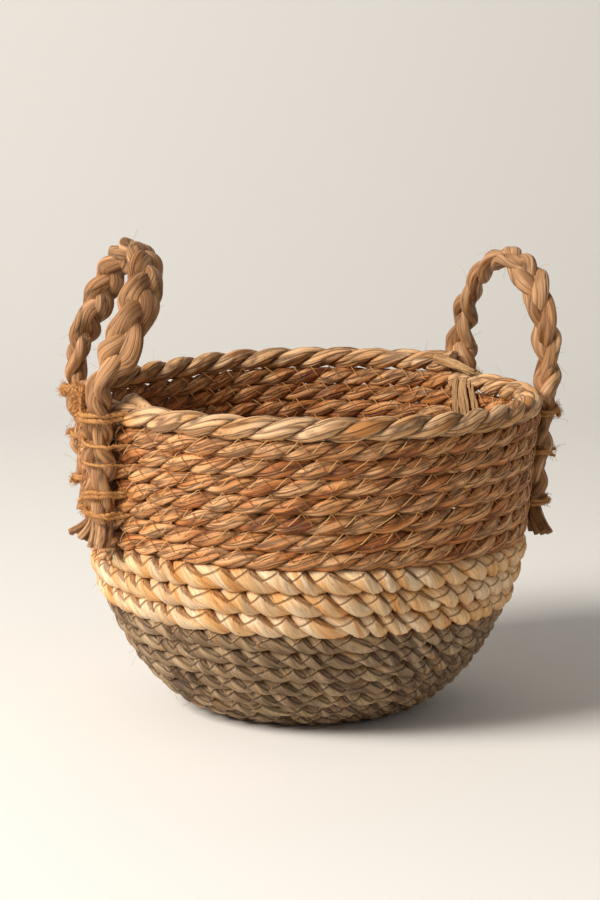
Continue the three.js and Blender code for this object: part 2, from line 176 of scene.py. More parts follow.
def add_lamp(name, place, size, watts):
    """A square area lamp that points at the object."""
    lamp = bpy.data.lights.new(name, "AREA")
    lamp.size = size
    lamp.energy = watts
    lamp.color = linear(LAMP_COLOUR)[:3]
    holder = bpy.data.objects.new(name, lamp)
    holder.location = place
    holder.rotation_euler = (AIM - Vector(place)).to_track_quat("-Z", "Y").to_euler()
    scene.collection.objects.link(holder)


add_lamp("key_lamp", KEY_PLACE, KEY_SIZE, KEY_WATTS)
add_lamp("fill_lamp", FILL_PLACE, FILL_SIZE, FILL_WATTS)
world = bpy.data.worlds.new("studio")
scene.world = world
world.use_nodes = True
background = world.node_tree.nodes["Background"]
background.inputs["Color"].default_value = linear("#fbf8f4")
background.inputs["Strength"].default_value = WORLD_STRENGTH
scene.view_settings.view_transform = "Standard"

# %% [markdown]
# ## The rope's path
#
# A coil is laid by a rule. A point on the wall's line, from the centre of the base to the rim, is
# known by its distance along that line. Each turn lies on the one below, half of each rope's
# thickness and a small gap away. So the path of the whole basket follows from the line, the
# ropes' thicknesses and the number of turns. The values are those of the solid model.

# %% The wall's line
BASE_FLAT_RADIUS = 56.0
BOWL_FOOT_RUN = 40.0
SHOULDER_RADIUS = 135.4
SHOULDER_HEIGHT = 118.0
SHOULDER_PULL = 48.0
WALL_LEAN = 5.2
WALL_RUN = 140.0
GREY_HALF, CREAM_HALF, BROWN_HALF, RIM_HALF = 5.6, 6.9, 5.36, 6.8
TURN_GAP = 0.5
INNER_END_RADIUS = 6.6
ROPE_BLEND_TURNS = 1 / 12
GREY_START = 5.25
CREAM_START = GREY_START + 7 + 1 / 6
BROWN_START = CREAM_START + 2.75
RIM_START = BROWN_START + 7 + 11 / 24
RIM_END = RIM_START + 1
FIRST_AZIMUTH = -90.0
STEPS_PER_TURN = 192
HEXAGON_CORNER = 1 / math.cos(math.pi / 6)
BASE_LINE_HEIGHT = GREY_HALF * HEXAGON_CORNER - 0.2 * GREY_HALF


def make_wall_line():
    """The wall's line: points as radius and height in millimetres, distances and slopes."""
    climb = np.array([math.sin(math.radians(WALL_LEAN)), math.cos(math.radians(WALL_LEAN))])
    foot = np.array([BASE_FLAT_RADIUS, BASE_LINE_HEIGHT])
    foot_pull = foot + [BOWL_FOOT_RUN, 0]
    shoulder = np.array([SHOULDER_RADIUS, SHOULDER_HEIGHT])
    shoulder_hold = shoulder - climb * SHOULDER_PULL
    t = np.linspace(0, 1, 2001)[:, None]
    bowl = ((1 - t) ** 3 * foot + 3 * (1 - t) ** 2 * t * foot_pull
            + 3 * (1 - t) * t ** 2 * shoulder_hold + t ** 3 * shoulder)
    points = np.vstack([[0, BASE_LINE_HEIGHT], bowl, shoulder + climb * WALL_RUN])
    steps = np.diff(points, axis=0)
    distances = np.concatenate([[0], np.cumsum(np.hypot(*steps.T))])
    slopes = np.arctan2(steps[:, 1], steps[:, 0])
    middles = (distances[1:] + distances[:-1]) / 2
    return points, distances, middles, slopes


line_points, line_distances, slope_places, line_slopes = make_wall_line()


def slope_at(distance):
    """The slope of the wall's line at a distance along it."""
    return np.interp(distance, slope_places, line_slopes)


# %% The turns, each laid on the one below
def half_at(turns):
    """Half of the rope's thickness, eased from one rope to the next where they are spliced."""
    half = np.full(len(turns), GREY_HALF)
    changes = ((CREAM_START, CREAM_HALF - GREY_HALF), (BROWN_START, BROWN_HALF - CREAM_HALF),
               (RIM_START, RIM_HALF - BROWN_HALF))
    for splice, change in changes:
        share = np.clip((turns - splice) / ROPE_BLEND_TURNS + 0.5, 0, 1)
        half = half + change * share * share * (3 - 2 * share)
    return half


def lay_turns():
    """Turns, half thicknesses and distances along the wall's line, for the whole basket."""
    turns = np.arange(round(RIM_END * STEPS_PER_TURN) + 1) / STEPS_PER_TURN
    half = half_at(turns)
    distance = INNER_END_RADIUS + turns * (2 * GREY_HALF + TURN_GAP)
    for start in range(STEPS_PER_TURN, len(turns), STEPS_PER_TURN):
        now = slice(start, min(start + STEPS_PER_TURN, len(turns)))
        below = slice(now.start - STEPS_PER_TURN, now.stop - STEPS_PER_TURN)
        pitch = half[now] + half[below] + TURN_GAP
        bend = slope_at(distance[below] + pitch) - slope_at(distance[below])
        half_side = np.maximum(half[now], half[below]) * math.tan(math.pi / 6)
        distance[now] = distance[below] + pitch + bend * half_side
    return turns, half, distance


all_turns, all_halves, all_distances = lay_turns()
azimuths = np.radians(FIRST_AZIMUTH - 360 * all_turns)
slopes = slope_at(all_distances)
zeros = np.zeros(len(all_turns))
radial = np.stack([np.cos(azimuths), np.sin(azimuths), zeros], 1)
climbs = np.cos(slopes)[:, None] * radial + np.stack([zeros, zeros, np.sin(slopes)], 1)
outs = np.sin(slopes)[:, None] * radial - np.stack([zeros, zeros, np.cos(slopes)], 1)


def on_line(distance, rows):
    """Places in metres, at distances along the wall's line over the azimuths of some rows."""
    radius = np.interp(distance, line_distances, line_points[:, 0])
    height = np.interp(distance, line_distances, line_points[:, 1])
    return (radius[:, None] * radial[rows] + np.stack([0 * height, 0 * height, height], 1)) * MM


def rows_between(first, last):
    """The rows of the path's points from one turn to another."""
    return slice(round(first * STEPS_PER_TURN), round(last * STEPS_PER_TURN) + 1)


print("rope length in metres:", round(float(np.sum(np.linalg.norm(np.diff(
    on_line(all_distances, slice(None)), axis=0), axis=1))), 2))

# %% The rhythm of the stitches
STITCH_PERIOD = 16.4
LEAF_STITCH_HEIGHT, LEAF_STITCH_DROP = 8.6, 2.3
HUSK_STITCH_HEIGHT, HUSK_STITCH_DROP = 6.2, 2.8
STITCH_WANDER = 0.3
FIRST_SEWN_TURN = 1.2


def count_stitches():
    """How many zigzags of thread lie under each turn's groove, from the seam's start."""
    radius = np.interp(all_distances - all_halves, line_distances, line_points[:, 0])
    lengths = np.concatenate([[0], np.cumsum(radius[1:] * 2 * math.pi / STEPS_PER_TURN)])
    even = lengths / STITCH_PERIOD
    slip = np.sin(even * 0.61) + np.sin(even * 1.37 + 1) + np.sin(even * 2.3 + 2) * 0.7
    return even + STITCH_WANDER * slip / 2


stitch_counts = count_stitches()
last_row = len(all_turns) - 1
rows_above = np.minimum(np.arange(len(all_turns)) + STEPS_PER_TURN, last_row)
counts_above = stitch_counts[rows_above]
print("stitches in the whole seam:", round(float(stitch_counts[-1])))

# %% [markdown]
# ## Guides
#
# A Geometry Nodes tree needs a line to follow. A guide is a mesh of points and edges, with named
# values at each point: how far along it lies, half of the rope's thickness, and directions. The
# tree reads those values, and the guide is thrown away when the result is a plain mesh.

# %% Guides and the result of a tree
def make_guide(name, lines):
    """A guide mesh from lines, each a dictionary with places and the named values at them."""
    points = np.vstack([line["places"] for line in lines])
    edges, start = [], 0
    for line in lines:
        count = len(line["places"])
        edges += [(start + k, start + k + 1) for k in range(count - 1)]
        start += count
    mesh = bpy.data.meshes.new(name)
    mesh.from_pydata([tuple(p) for p in points], edges, [])
    for title in lines[0]:
        if title == "places":
            continue
        values = np.concatenate([np.asarray(line[title], np.float32) for line in lines])
        is_vector = values.ndim == 2
        attribute = mesh.attributes.new(title, "FLOAT_VECTOR" if is_vector else "FLOAT", "POINT")
        attribute.data.foreach_set("vector" if is_vector else "value", values.ravel())
    return mesh


def lengths_along(places):
    """The distance from a line's start to each of its points."""
    return np.concatenate([[0], np.cumsum(np.linalg.norm(np.diff(places, axis=0), axis=1))])


def grow(name, tree, guide, **sizes):
    """Runs a tree on a guide and returns the result as a plain mesh object."""
    holder = bpy.data.objects.new(name + "_guide", guide)
    scene.collection.objects.link(holder)
    modifier = holder.modifiers.new("grow", "NODES")
    modifier.node_group = tree
    sockets = {item.name: item.identifier for item in tree.interface.items_tree
               if item.item_type == "SOCKET" and item.in_out == "INPUT"}
    for title, value in sizes.items():
        modifier[sockets[title]] = value
    depsgraph = bpy.context.evaluated_depsgraph_get()
    mesh = bpy.data.meshes.new_from_object(holder.evaluated_get(depsgraph), depsgraph=depsgraph)
    mesh.name = name
    bpy.data.objects.remove(holder)
    piece = bpy.data.objects.new(name, mesh)
    scene.collection.objects.link(piece)
    mesh.calc_loop_triangles()
    print(f"{name}: {len(mesh.loop_triangles)} triangles")
    return piece


SOCKET_KINDS = {float: "Float", int: "Int", bool: "Bool", type(None): "Material"}


def start_tree(name, sizes):
    """An empty Geometry Nodes tree with a geometry in and out, and inputs with their usual values.
    Returns what adds a node to it, and the outputs of its input node."""
    tree = bpy.data.node_groups.new(name, "GeometryNodeTree")
    tree.interface.new_socket("Geometry", in_out="INPUT", socket_type="NodeSocketGeometry")
    tree.interface.new_socket("Geometry", in_out="OUTPUT", socket_type="NodeSocketGeometry")
    for title, value in sizes.items():
        kind = "NodeSocket" + SOCKET_KINDS[type(value)]
        socket = tree.interface.new_socket(title, in_out="INPUT", socket_type=kind)
        if value is not None:
            socket.default_value = value
    add = partial(add_node, tree)
    return add, add("NodeGroupInput").outputs


def space_evenly(add, given):
    """The guide as a curve, with a point at every step."""
    line = add("GeometryNodeMeshToCurve", {"Mesh": given["Geometry"]})
    return add("GeometryNodeResampleCurve", {"Curve": line, "Length": given["Step"]}, mode="LENGTH")


def plain_section(add, given):
    """A circle whose points keep their place in the section, and the parts of that place."""
    circle = add("GeometryNodeCurvePrimitiveCircle", {"Resolution": given["Sides"], "Radius": 1.0})
    place = add("GeometryNodeInputPosition")
    marked = add("GeometryNodeStoreNamedAttribute", {
        "Geometry": circle, "Name": "section", "Value": place}, data_type="FLOAT_VECTOR")
    return marked, add("ShaderNodeSeparateXYZ", [place])


def keep_above(add, given, geometry):
    """The geometry with every point below the floor's height raised to it."""
    place = add("ShaderNodeSeparateXYZ", [add("GeometryNodeInputPosition")])
    height = add("ShaderNodeMath", [place.outputs[2], given["Floor"]], operation="MAXIMUM")
    raised = add("ShaderNodeCombineXYZ", [place, place.outputs[1], height])
    return add("GeometryNodeSetPosition", {"Geometry": geometry, "Position": raised})


def finish_tree(add, given, geometry):
    """Most trees end the same way: real geometry, smooth faces and their material."""
    real = add("GeometryNodeRealizeInstances", {"Geometry": geometry})
    smooth = add("GeometryNodeSetShadeSmooth", {"Geometry": real})
    painted = add("GeometryNodeSetMaterial", {"Geometry": smooth, "Material": given["Material"]})
    return add("NodeGroupOutput", [painted]).id_data


# %% [markdown]
# ## The leaf surface
#
# Twisted leaf isn't smooth. Each strand is a bundle of folded strips, so it is lumpy along its
# length and has creases where one strip's edge lies on the next. This small tree moves a swept
# surface in and out with noise that runs along the strand. The sweep stores where a point lies
# in the strand's section and how far along it is, so lumps and creases follow the twist.

# %% Tree: lumps and creases
SURFACE_SIZES = ("Lump", "Lump Length", "Crease", "Creases", "Seed")
STRANDS_APART = 5.0
CREASE_WANDER = 14.0
CREASE_SHARPNESS = 2.5


def make_leaf_surface():
    """Moves a swept surface in and out, and keeps how deep a crease lies at each point."""
    add, given = start_tree("leaf_surface", {
        "Lump": 0.1, "Lump Length": 0.02, "Crease": 0.1, "Creases": 3.0, "Seed": 0.0})
    section = add("GeometryNodeInputNamedAttribute", {"Name": "section"}, data_type="FLOAT_VECTOR")
    along, half, seam = (
        add("GeometryNodeInputNamedAttribute", {"Name": name}, data_type="FLOAT")
        for name in ("along", "half", "seam"))
    parts = add("ShaderNodeSeparateXYZ", [section])
    run = add("ShaderNodeMath", [along, given["Lump Length"]], operation="DIVIDE")
    shifted = add("ShaderNodeMath", [run, given["Seed"]], operation="ADD")
    apart = add("ShaderNodeMath", [parts.outputs[2], STRANDS_APART, parts], operation="MULTIPLY_ADD")
    place = add("ShaderNodeCombineXYZ", [apart, parts.outputs[1], shifted])
    lumps = add("ShaderNodeTexNoise", {"Vector": place, "Scale": 1.0, "Detail": 2.0})
    centred = add("ShaderNodeMath", [lumps, 0.5], operation="SUBTRACT")
    lump = add("ShaderNodeMath", [centred, given["Lump"]], operation="MULTIPLY")
    slow = add("ShaderNodeVectorMath", [place, (0.35, 0.35, 0.6)], operation="MULTIPLY")
    drift = add("ShaderNodeTexNoise", {"Vector": slow, "Scale": 1.0, "Detail": 1.0})
    turned = add("ShaderNodeMath", [drift, CREASE_WANDER], operation="MULTIPLY")
    angle = add("ShaderNodeMath", [parts.outputs[1], parts], operation="ARCTAN2")
    wound = add("ShaderNodeMath", [angle, given["Creases"], turned], operation="MULTIPLY_ADD")
    wave = add("ShaderNodeMath", [wound], operation="SINE")
    folded = add("ShaderNodeMath", [wave], operation="ABSOLUTE")
    edge = add("ShaderNodeMath", [1.0, folded], operation="SUBTRACT")
    sharp = add("ShaderNodeMath", [edge, CREASE_SHARPNESS], operation="POWER")
    crease = add("ShaderNodeMath", [sharp, given["Crease"]], operation="MULTIPLY")
    both = add("ShaderNodeMath", [lump, crease], operation="SUBTRACT")
    sized = add("ShaderNodeMath", [both, half], operation="MULTIPLY")
    normal = add("GeometryNodeInputNormal")
    offset = add("ShaderNodeVectorMath", {0: normal, "Scale": sized}, operation="SCALE")
    moved = add("GeometryNodeSetPosition", {"Geometry": given["Geometry"], "Offset": offset})
    # This value, the nearer of a strip's crease and the seam between strands, is where the materials paint
    # shade.
    deepest = add("ShaderNodeMath", [sharp, seam], operation="MAXIMUM")
    kept = add("GeometryNodeStoreNamedAttribute", {
        "Geometry": moved, "Name": "crease", "Value": deepest}, data_type="FLOAT")
    return add("NodeGroupOutput", [kept]).id_data


leaf_surface = make_leaf_surface()


def finish_leaf(add, given, swept):
    """Gives swept leaf its lumps and creases, and finishes its tree."""
    sizes = {title: given[title] for title in SURFACE_SIZES}
    rough = add("GeometryNodeGroup", {"Geometry": swept, **sizes}, node_tree=leaf_surface)
    return finish_tree(add, given, rough)


# %% [markdown]
# ## The twisted rope
#
# A two-ply rope seen end on is two round strands side by side, and along the rope that shape
# turns. So the tree sweeps a two-lobed section along the path and tilts it by the distance along
# the path over the length of lay, which is the length of one full twist. The strand's lobes, the
# slanting seams between them and the wavy outline all come from that one rule. The section's
# points crowd together at the seams, where the surface bends most.
#
# Within each strand the leaves lie almost straight, because a strand is twisted the other way
# before it is laid into rope. So the stored section is turned back by the same tilt, and lumps,
# creases and fibres run at a flatter angle than the seams, which gives the lobes their long lens
# shape.

# %% The rope's section
SEAM_WIDTH = 0.16
SEAM_CROWDING = 0.28


def two_lobed_section(add, given, place):
    """The rope's section: two lobes with a notch between them. Each point keeps its place in its
    own strand, which strand that is, and how near the seam lies."""
    circle = add("GeometryNodeCurvePrimitiveCircle", {"Resolution": given["Sides"], "Radius": 1.0})
    parts = add("ShaderNodeSeparateXYZ", [place])
    angle = add("ShaderNodeMath", [parts.outputs[1], parts], operation="ARCTAN2")
    double = add("ShaderNodeMath", [angle, 2.0], operation="MULTIPLY")
    sway = add("ShaderNodeMath", [double], operation="SINE")
    crowded = add("ShaderNodeMath", [sway, SEAM_CROWDING, angle], operation="MULTIPLY_ADD")
    cosine = add("ShaderNodeMath", [crowded], operation="COSINE")
    sine = add("ShaderNodeMath", [crowded], operation="SINE")
    reach = add("ShaderNodeMath", [cosine], operation="ABSOLUTE")
    ahead = add("ShaderNodeMath", [reach, given["Lobe Offset"]], operation="MULTIPLY")
    lobe = add("ShaderNodeMath", [1.0, given["Lobe Offset"]], operation="SUBTRACT")
    lobe_square = add("ShaderNodeMath", [lobe, 2.0], operation="POWER")
    side = add("ShaderNodeMath", [sine, given["Lobe Offset"]], operation="MULTIPLY")
    side_square = add("ShaderNodeMath", [side, side], operation="MULTIPLY")
    left = add("ShaderNodeMath", [lobe_square, side_square], operation="SUBTRACT")
    chord = add("ShaderNodeMath", [left], operation="SQRT")
    round_radius = add("ShaderNodeMath", [ahead, chord], operation="ADD")
    from_seam = add("ShaderNodeMath", [reach, -1 / SEAM_WIDTH], operation="MULTIPLY")
    seam = add("ShaderNodeMath", [from_seam], operation="EXPONENT")
    notch = add("ShaderNodeMath", [seam, given["Notch"]], operation="MULTIPLY")
    whole = add("ShaderNodeMath", [1.0, notch], operation="SUBTRACT")
    radius = add("ShaderNodeMath", [round_radius, whole], operation="MULTIPLY")
    unit = add("ShaderNodeCombineXYZ", [cosine, sine])
    shaped = add("ShaderNodeVectorMath", {0: unit, "Scale": radius}, operation="SCALE")
    strand = add("ShaderNodeMath", [cosine], operation="SIGN")
    lobe_middle = add("ShaderNodeMath", [strand, given["Lobe Offset"]], operation="MULTIPLY")
    middle = add("ShaderNodeCombineXYZ", [lobe_middle])
    own = add("ShaderNodeVectorMath", [shaped, middle], operation="SUBTRACT")
    own_parts = add("ShaderNodeSeparateXYZ", [own])
    labelled = add("ShaderNodeCombineXYZ", [own_parts, own_parts.outputs[1], strand])
    kept, kept_values = circle, (
        ("section", labelled, "FLOAT_VECTOR"), ("seam", seam, "FLOAT"), ("shape", shaped, "FLOAT_VECTOR"))
    for title, value, kind in kept_values:
        kept = add("GeometryNodeStoreNamedAttribute", {
            "Geometry": kept, "Name": title, "Value": value}, data_type=kind)
    shape = add("GeometryNodeInputNamedAttribute", {"Name": "shape"}, data_type="FLOAT_VECTOR")
    return add("GeometryNodeSetPosition", {"Geometry": kept, "Position": shape})


# %% What presses on a rope
def press_together(add, given, rope, place, half, out):
    """Holds a rope in the room between its neighbours, measured up and down from its core, and
    draws it in towards the wall's line. Keeps the height in the row, for the thread's marks."""
    core, heading = (
        add("GeometryNodeInputNamedAttribute", {"Name": name}, data_type="FLOAT_VECTOR")
        for name in ("core", "heading"))
    rise = add("ShaderNodeVectorMath", [heading, out], operation="CROSS_PRODUCT")
    here = add("ShaderNodeVectorMath", [place, core], operation="SUBTRACT")
    upward = add("ShaderNodeVectorMath", [here, rise], operation="DOT_PRODUCT")
    outward = add("ShaderNodeVectorMath", [here, out], operation="DOT_PRODUCT")
    room = add("ShaderNodeMath", [half, given["Press"]], operation="MULTIPLY")
    no_higher = add("ShaderNodeMath", [upward.outputs[1], room], operation="MINIMUM")
    lowest = add("ShaderNodeMath", [room, -1.0], operation="MULTIPLY")
    level = add("ShaderNodeMath", [no_higher, lowest], operation="MAXIMUM")
    up_move = add("ShaderNodeMath", [level, upward.outputs[1]], operation="SUBTRACT")
    flatter = add("ShaderNodeMath", [given["Outward Share"], 1.0], operation="SUBTRACT")
    out_move = add("ShaderNodeMath", [outward.outputs[1], flatter], operation="MULTIPLY")
    pushed_up = add("ShaderNodeVectorMath", {0: rise, "Scale": up_move}, operation="SCALE")
    pushed_in = add("ShaderNodeVectorMath", {0: out, "Scale": out_move}, operation="SCALE")
    push = add("ShaderNodeVectorMath", [pushed_up, pushed_in], operation="ADD")
    levelled = add("GeometryNodeStoreNamedAttribute", {
        "Geometry": rope, "Name": "level", "Value": level}, data_type="FLOAT")
    return add("GeometryNodeSetPosition", {"Geometry": levelled, "Offset": push})


# %% Tree: twisted rope
def make_rope_tree():
    """A two-ply rope along every line of a guide."""
    add, given = start_tree("twisted_rope", {
        "Lay": 0.036, "Follow": 0.0, "Phase": 0.0, "Sides": 28, "Step": 0.0024, "Lobe Offset": 0.32,
        "Notch": 0.2, "Fullness": 1.1, "Untwist": 0.0, "Outward Share": 1.0, "Press": 10.0, "Lump": 0.1,
        "Lump Length": 0.02, "Crease": 0.1, "Creases": 3.0, "Seed": 0.0, "Floor": -1.0,
        "Material": None})
    along, half, sewn = (
        add("GeometryNodeInputNamedAttribute", {"Name": name}, data_type="FLOAT")
        for name in ("along", "half", "above"))
    out, section = (
        add("GeometryNodeInputNamedAttribute", {"Name": name}, data_type="FLOAT_VECTOR")
        for name in ("out", "section"))
    even = space_evenly(add, given)
    framed = add("GeometryNodeSetCurveNormal", {"Curve": even, "Normal": out}, mode="FREE")
    twists = add("ShaderNodeMath", [along, given["Lay"]], operation="DIVIDE")
    by_stitch = add("ShaderNodeMath", [sewn, 0.5], operation="MULTIPLY")
    wound = add("ShaderNodeMix", {"Factor": given["Follow"], 2: twists, 3: by_stitch})
    started = add("ShaderNodeMath", [wound, given["Phase"]], operation="ADD")
    tilt = add("ShaderNodeMath", [started, 2 * math.pi], operation="MULTIPLY")
    turned = add("GeometryNodeSetCurveTilt", {"Curve": framed, "Tilt": tilt})
    place = add("GeometryNodeInputPosition")
    headed = turned
    for title, value in (("core", place), ("heading", add("GeometryNodeInputTangent"))):
        headed = add("GeometryNodeStoreNamedAttribute", {
            "Geometry": headed, "Name": title, "Value": value}, data_type="FLOAT_VECTOR")
    size = add("ShaderNodeMath", [half, given["Fullness"]], operation="MULTIPLY")
    swept = add("GeometryNodeCurveToMesh", {
        "Curve": headed, "Profile Curve": two_lobed_section(add, given, place), "Scale": size,
        "Fill Caps": True})
    back = add("ShaderNodeMath", [tilt, given["Untwist"]], operation="MULTIPLY")
    untwisted = add("ShaderNodeVectorRotate", {"Vector": section, "Axis": (0, 0, 1), "Angle": back})
    strands = add("GeometryNodeStoreNamedAttribute", {
        "Geometry": swept, "Name": "section", "Value": untwisted}, data_type="FLOAT_VECTOR")
    sizes = {title: given[title] for title in SURFACE_SIZES}
    rough = add("GeometryNodeGroup", {"Geometry": strands, **sizes}, node_tree=leaf_surface)
    pressed = press_together(add, given, rough, place, half, out)
    return finish_tree(add, given, keep_above(add, given, pressed))


rope_tree = make_rope_tree()

# %% [markdown]
# ## Dry leaf and husk
#
# All of the basket is dry plant fibre, and its look comes from three things: long patches of
# different tones, because every strip is another leaf; fine fibres along the strand; and dark
# cracks between strips. Shade is painted too: into the creases, the hollows between strands and
# the cuts of the sewing thread. The sweep stored where a point lies in the section and along the
# strand, so one recipe serves all of them with other tones and sizes. Leaf has a weak gloss, husk
# a little more.

# %% Recipe for dry fibres that follow the strand
THREAD_MARK_HALF = 0.0013
THREAD_MARK_DEPTH = 2.5
LEAF_TONE_SHARE = 0.42
CRACK_FROM, CRACK_TO = 0.02, 0.13
SPECKS_PER_METRE = 500.0
SPECK_FROM, SPECK_TO = 0.76, 0.82


def zigzag(add, count):
    """Swings from -1 to 1 and back in every stitch."""
    wave = add("ShaderNodeMath", [count, 0.5], operation="PINGPONG")
    return add("ShaderNodeMath", [wave, 4.0, -1.0], operation="MULTIPLY_ADD")


def stitch_line(add, count, level, half):
    """How near a point of a rope is to the thread of the seam above it, which cuts into it."""
    across = zigzag(add, count)
    half_height, drop = HUSK_STITCH_HEIGHT * MM / 2, HUSK_STITCH_DROP * MM
    from_groove = add("ShaderNodeMath", [across, half_height, -drop], operation="MULTIPLY_ADD")
    thread = add("ShaderNodeMath", [half, from_groove], operation="ADD")
    away = add("ShaderNodeMath", [level, thread], operation="SUBTRACT")
    gap = add("ShaderNodeMath", [away], operation="ABSOLUTE")
    return add("ShaderNodeMapRange", [gap, 0.0, THREAD_MARK_HALF, 1.0, 0.0], interpolation_type="SMOOTHSTEP")


def paint_fibres(name, tones, painted_shade_and_mark_colour, lobe_run, strips, fibres, contrast, roughness, bump,
                 specks=0.0, thread_cut_dent_and_shade=0.0, split=0.7, painted_crease_and_seam_shade=0.85):
    """A material of long fibres. The tone changes over lobe_run metres along the strand, and from
    strip to strip. Strips and fibres are counted per half of the strand's thickness. Contrast is
    how far the fibres' tone varies. The argument after specks says how deep the thread of the sewn
    seam cuts in and how much shade is painted into that cut, split how dark the cracks between
    strips are, and the last argument how much shade is painted into the creases and the hollows
    between strands. The dark colour after the tones is that painted shade, and also the colour of
    the cracks and the specks. A Mix node for colours takes them at its inputs 6 and 7 and gives the
    result at its output 2."""
    material = bpy.data.materials.new(name)
    material.use_nodes = True
    tree = material.node_tree
    add = partial(add_node, tree)
    shader = tree.nodes["Principled BSDF"]
    shader.inputs["Specular IOR Level"].default_value = 0.35
    section, along, crease = (
        add("ShaderNodeAttribute", attribute_name=name) for name in ("section", "along", "crease"))
    parts = add("ShaderNodeSeparateXYZ", [section.outputs["Vector"]])
    apart = add("ShaderNodeMath", [parts.outputs[2], STRANDS_APART, parts], operation="MULTIPLY_ADD")
    place = add("ShaderNodeCombineXYZ", [apart, parts.outputs[1], along.outputs["Fac"]])

    broad = add("ShaderNodeVectorMath", [place, (0.5, 0.5, 1 / lobe_run)], operation="MULTIPLY")
    lobes = add("ShaderNodeTexNoise", {"Vector": broad, "Scale": 1.0, "Detail": 1.0})
    lobe_tone = add("ShaderNodeMapRange", [lobes.outputs["Fac"], 0.35, 0.65])
    lengthened = (strips, strips, 0.7 / lobe_run)
    long_cells = add("ShaderNodeVectorMath", [place, lengthened], operation="MULTIPLY")
    leaves = add("ShaderNodeTexVoronoi", {"Vector": long_cells, "Scale": 1.0})
    leaf_tone = add("ShaderNodeSeparateXYZ", [leaves.outputs["Color"]])
    tone = add("ShaderNodeMix", {"Factor": LEAF_TONE_SHARE, 2: lobe_tone, 3: leaf_tone})
    ramp = add("ShaderNodeValToRGB", [tone])
    elements = ramp.color_ramp.elements
    while len(elements) < len(tones):
        elements.new(0.5)
    for element, (position, code) in zip(elements, tones):
        element.position = position
        element.color = linear(code)

    fine = add("ShaderNodeVectorMath", [place, (fibres, fibres, 30.0)], operation="MULTIPLY")
    threads = add("ShaderNodeTexNoise", {"Vector": fine, "Scale": 1.0, "Detail": 2.0, "Roughness": 0.6})
    shade = add("ShaderNodeMapRange", [threads.outputs["Fac"], 0.3, 0.65, 1 - contrast, 1 + 0.4 * contrast])
    streaked = add("ShaderNodeVectorMath", {0: ramp.outputs["Color"], "Scale": shade}, operation="SCALE")

    edges = add("ShaderNodeTexVoronoi", {"Vector": long_cells, "Scale": 1.0}, feature="DISTANCE_TO_EDGE")
    crack = add("ShaderNodeMapRange", [edges.outputs["Distance"], CRACK_FROM, CRACK_TO, split, 0.0])
    # Painted shade: creases and the hollows between strands are darkened towards the dark colour, where
    # shade falls.
    deep = add("ShaderNodeMath", [crease.outputs["Fac"], painted_crease_and_seam_shade], operation="MULTIPLY")
    dark = add("ShaderNodeMath", [deep, crack], operation="MAXIMUM")
    height = add("ShaderNodeMath", [threads.outputs["Fac"], crack], operation="SUBTRACT")
    # Painted shade along the thread's cut, on top of the dent that the bump gives it.
    if thread_cut_dent_and_shade:
        sewn = (add("ShaderNodeAttribute", attribute_name=title) for title in ("above", "level", "half"))
        cut = stitch_line(add, *(value.outputs["Fac"] for value in sewn))
        cut_dent_and_shade = add("ShaderNodeMath", [cut, thread_cut_dent_and_shade], operation="MULTIPLY")
        dark = add("ShaderNodeMath", [dark, cut_dent_and_shade], operation="MAXIMUM")
        height = add("ShaderNodeMath", [cut_dent_and_shade, -THREAD_MARK_DEPTH, height], operation="MULTIPLY_ADD")
    shaded_and_cracked = add("ShaderNodeMix", {"Factor": dark, 6: streaked, 7: linear(painted_shade_and_mark_colour)}, data_type="RGBA")

    spots = add("ShaderNodeVectorMath", [place, (7.0, 7.0, SPECKS_PER_METRE)], operation="MULTIPLY")
    flecks = add("ShaderNodeTexNoise", {"Vector": spots, "Scale": 1.0, "Detail": 0.0})
    mark = add("ShaderNodeMapRange", [flecks.outputs["Fac"], SPECK_FROM, SPECK_TO, 0.0, specks])
    marked = add("ShaderNodeMix", {
        "Factor": mark, 6: shaded_and_cracked.outputs[2], 7: linear(painted_shade_and_mark_colour)}, data_type="RGBA")
    tree.links.new(marked.outputs[2], shader.inputs["Base Color"])

    rough_low, rough_high = roughness - 0.08, roughness + 0.12
    gloss = add("ShaderNodeMapRange", [threads.outputs["Fac"], 0.3, 0.7, rough_high, rough_low])
    tree.links.new(gloss.outputs[0], shader.inputs["Roughness"])
    relief = add("ShaderNodeBump", {"Height": height, "Distance": bump, "Strength": 1.0})
    tree.links.new(relief.outputs[0], shader.inputs["Normal"])
    return material


# %% The leaf and husk materials
# In each material below, the dark colour after the tones is painted shade for creases, the hollows between
# strands and, in the husks, the thread's cuts, and also the colour of cracks and specks.
# Sun-dried cattail leaf, twisted: red-brown and straw strips side by side, with painted shade in the deep
# seams
cattail_leaf = paint_fibres(
    "cattail_leaf_dried_twisted",
    ((0.0, "#955222"), (0.25, "#c47a3e"), (0.5, "#df9c5f"), (0.75, "#eeb780"), (1.0, "#cf8546")),
    painted_shade_and_mark_colour="#2e1405", lobe_run=0.035, strips=1.7, fibres=9.0, contrast=0.42,
    roughness=0.5, bump=0.0008, specks=0.6)
# The same leaf on the rim, in paler and more even tones
rim_leaf = paint_fibres(
    "cattail_leaf_dried_rim",
    ((0.0, "#b9783a"), (0.3, "#dca366"), (0.6, "#eebc87"), (0.85, "#f6cb9c"), (1.0, "#d7985a")),
    painted_shade_and_mark_colour="#42210c", lobe_run=0.04, strips=1.5, fibres=10.0, contrast=0.3,
    roughness=0.5, bump=0.0008, specks=0.6)
# The same leaf, plaited damp and dried again: matter and greyer, with long fine fibres
plait_leaf = paint_fibres(
    "cattail_leaf_dried_plaited",
    ((0.0, "#8c582e"), (0.3, "#b07e4f"), (0.6, "#c79568"), (0.85, "#d7a97a"), (1.0, "#ab6f3d")),
    painted_shade_and_mark_colour="#38200e", lobe_run=0.05, strips=1.3, fibres=11.0, contrast=0.26,
    roughness=0.55, bump=0.0007, specks=0.4, split=0.42)
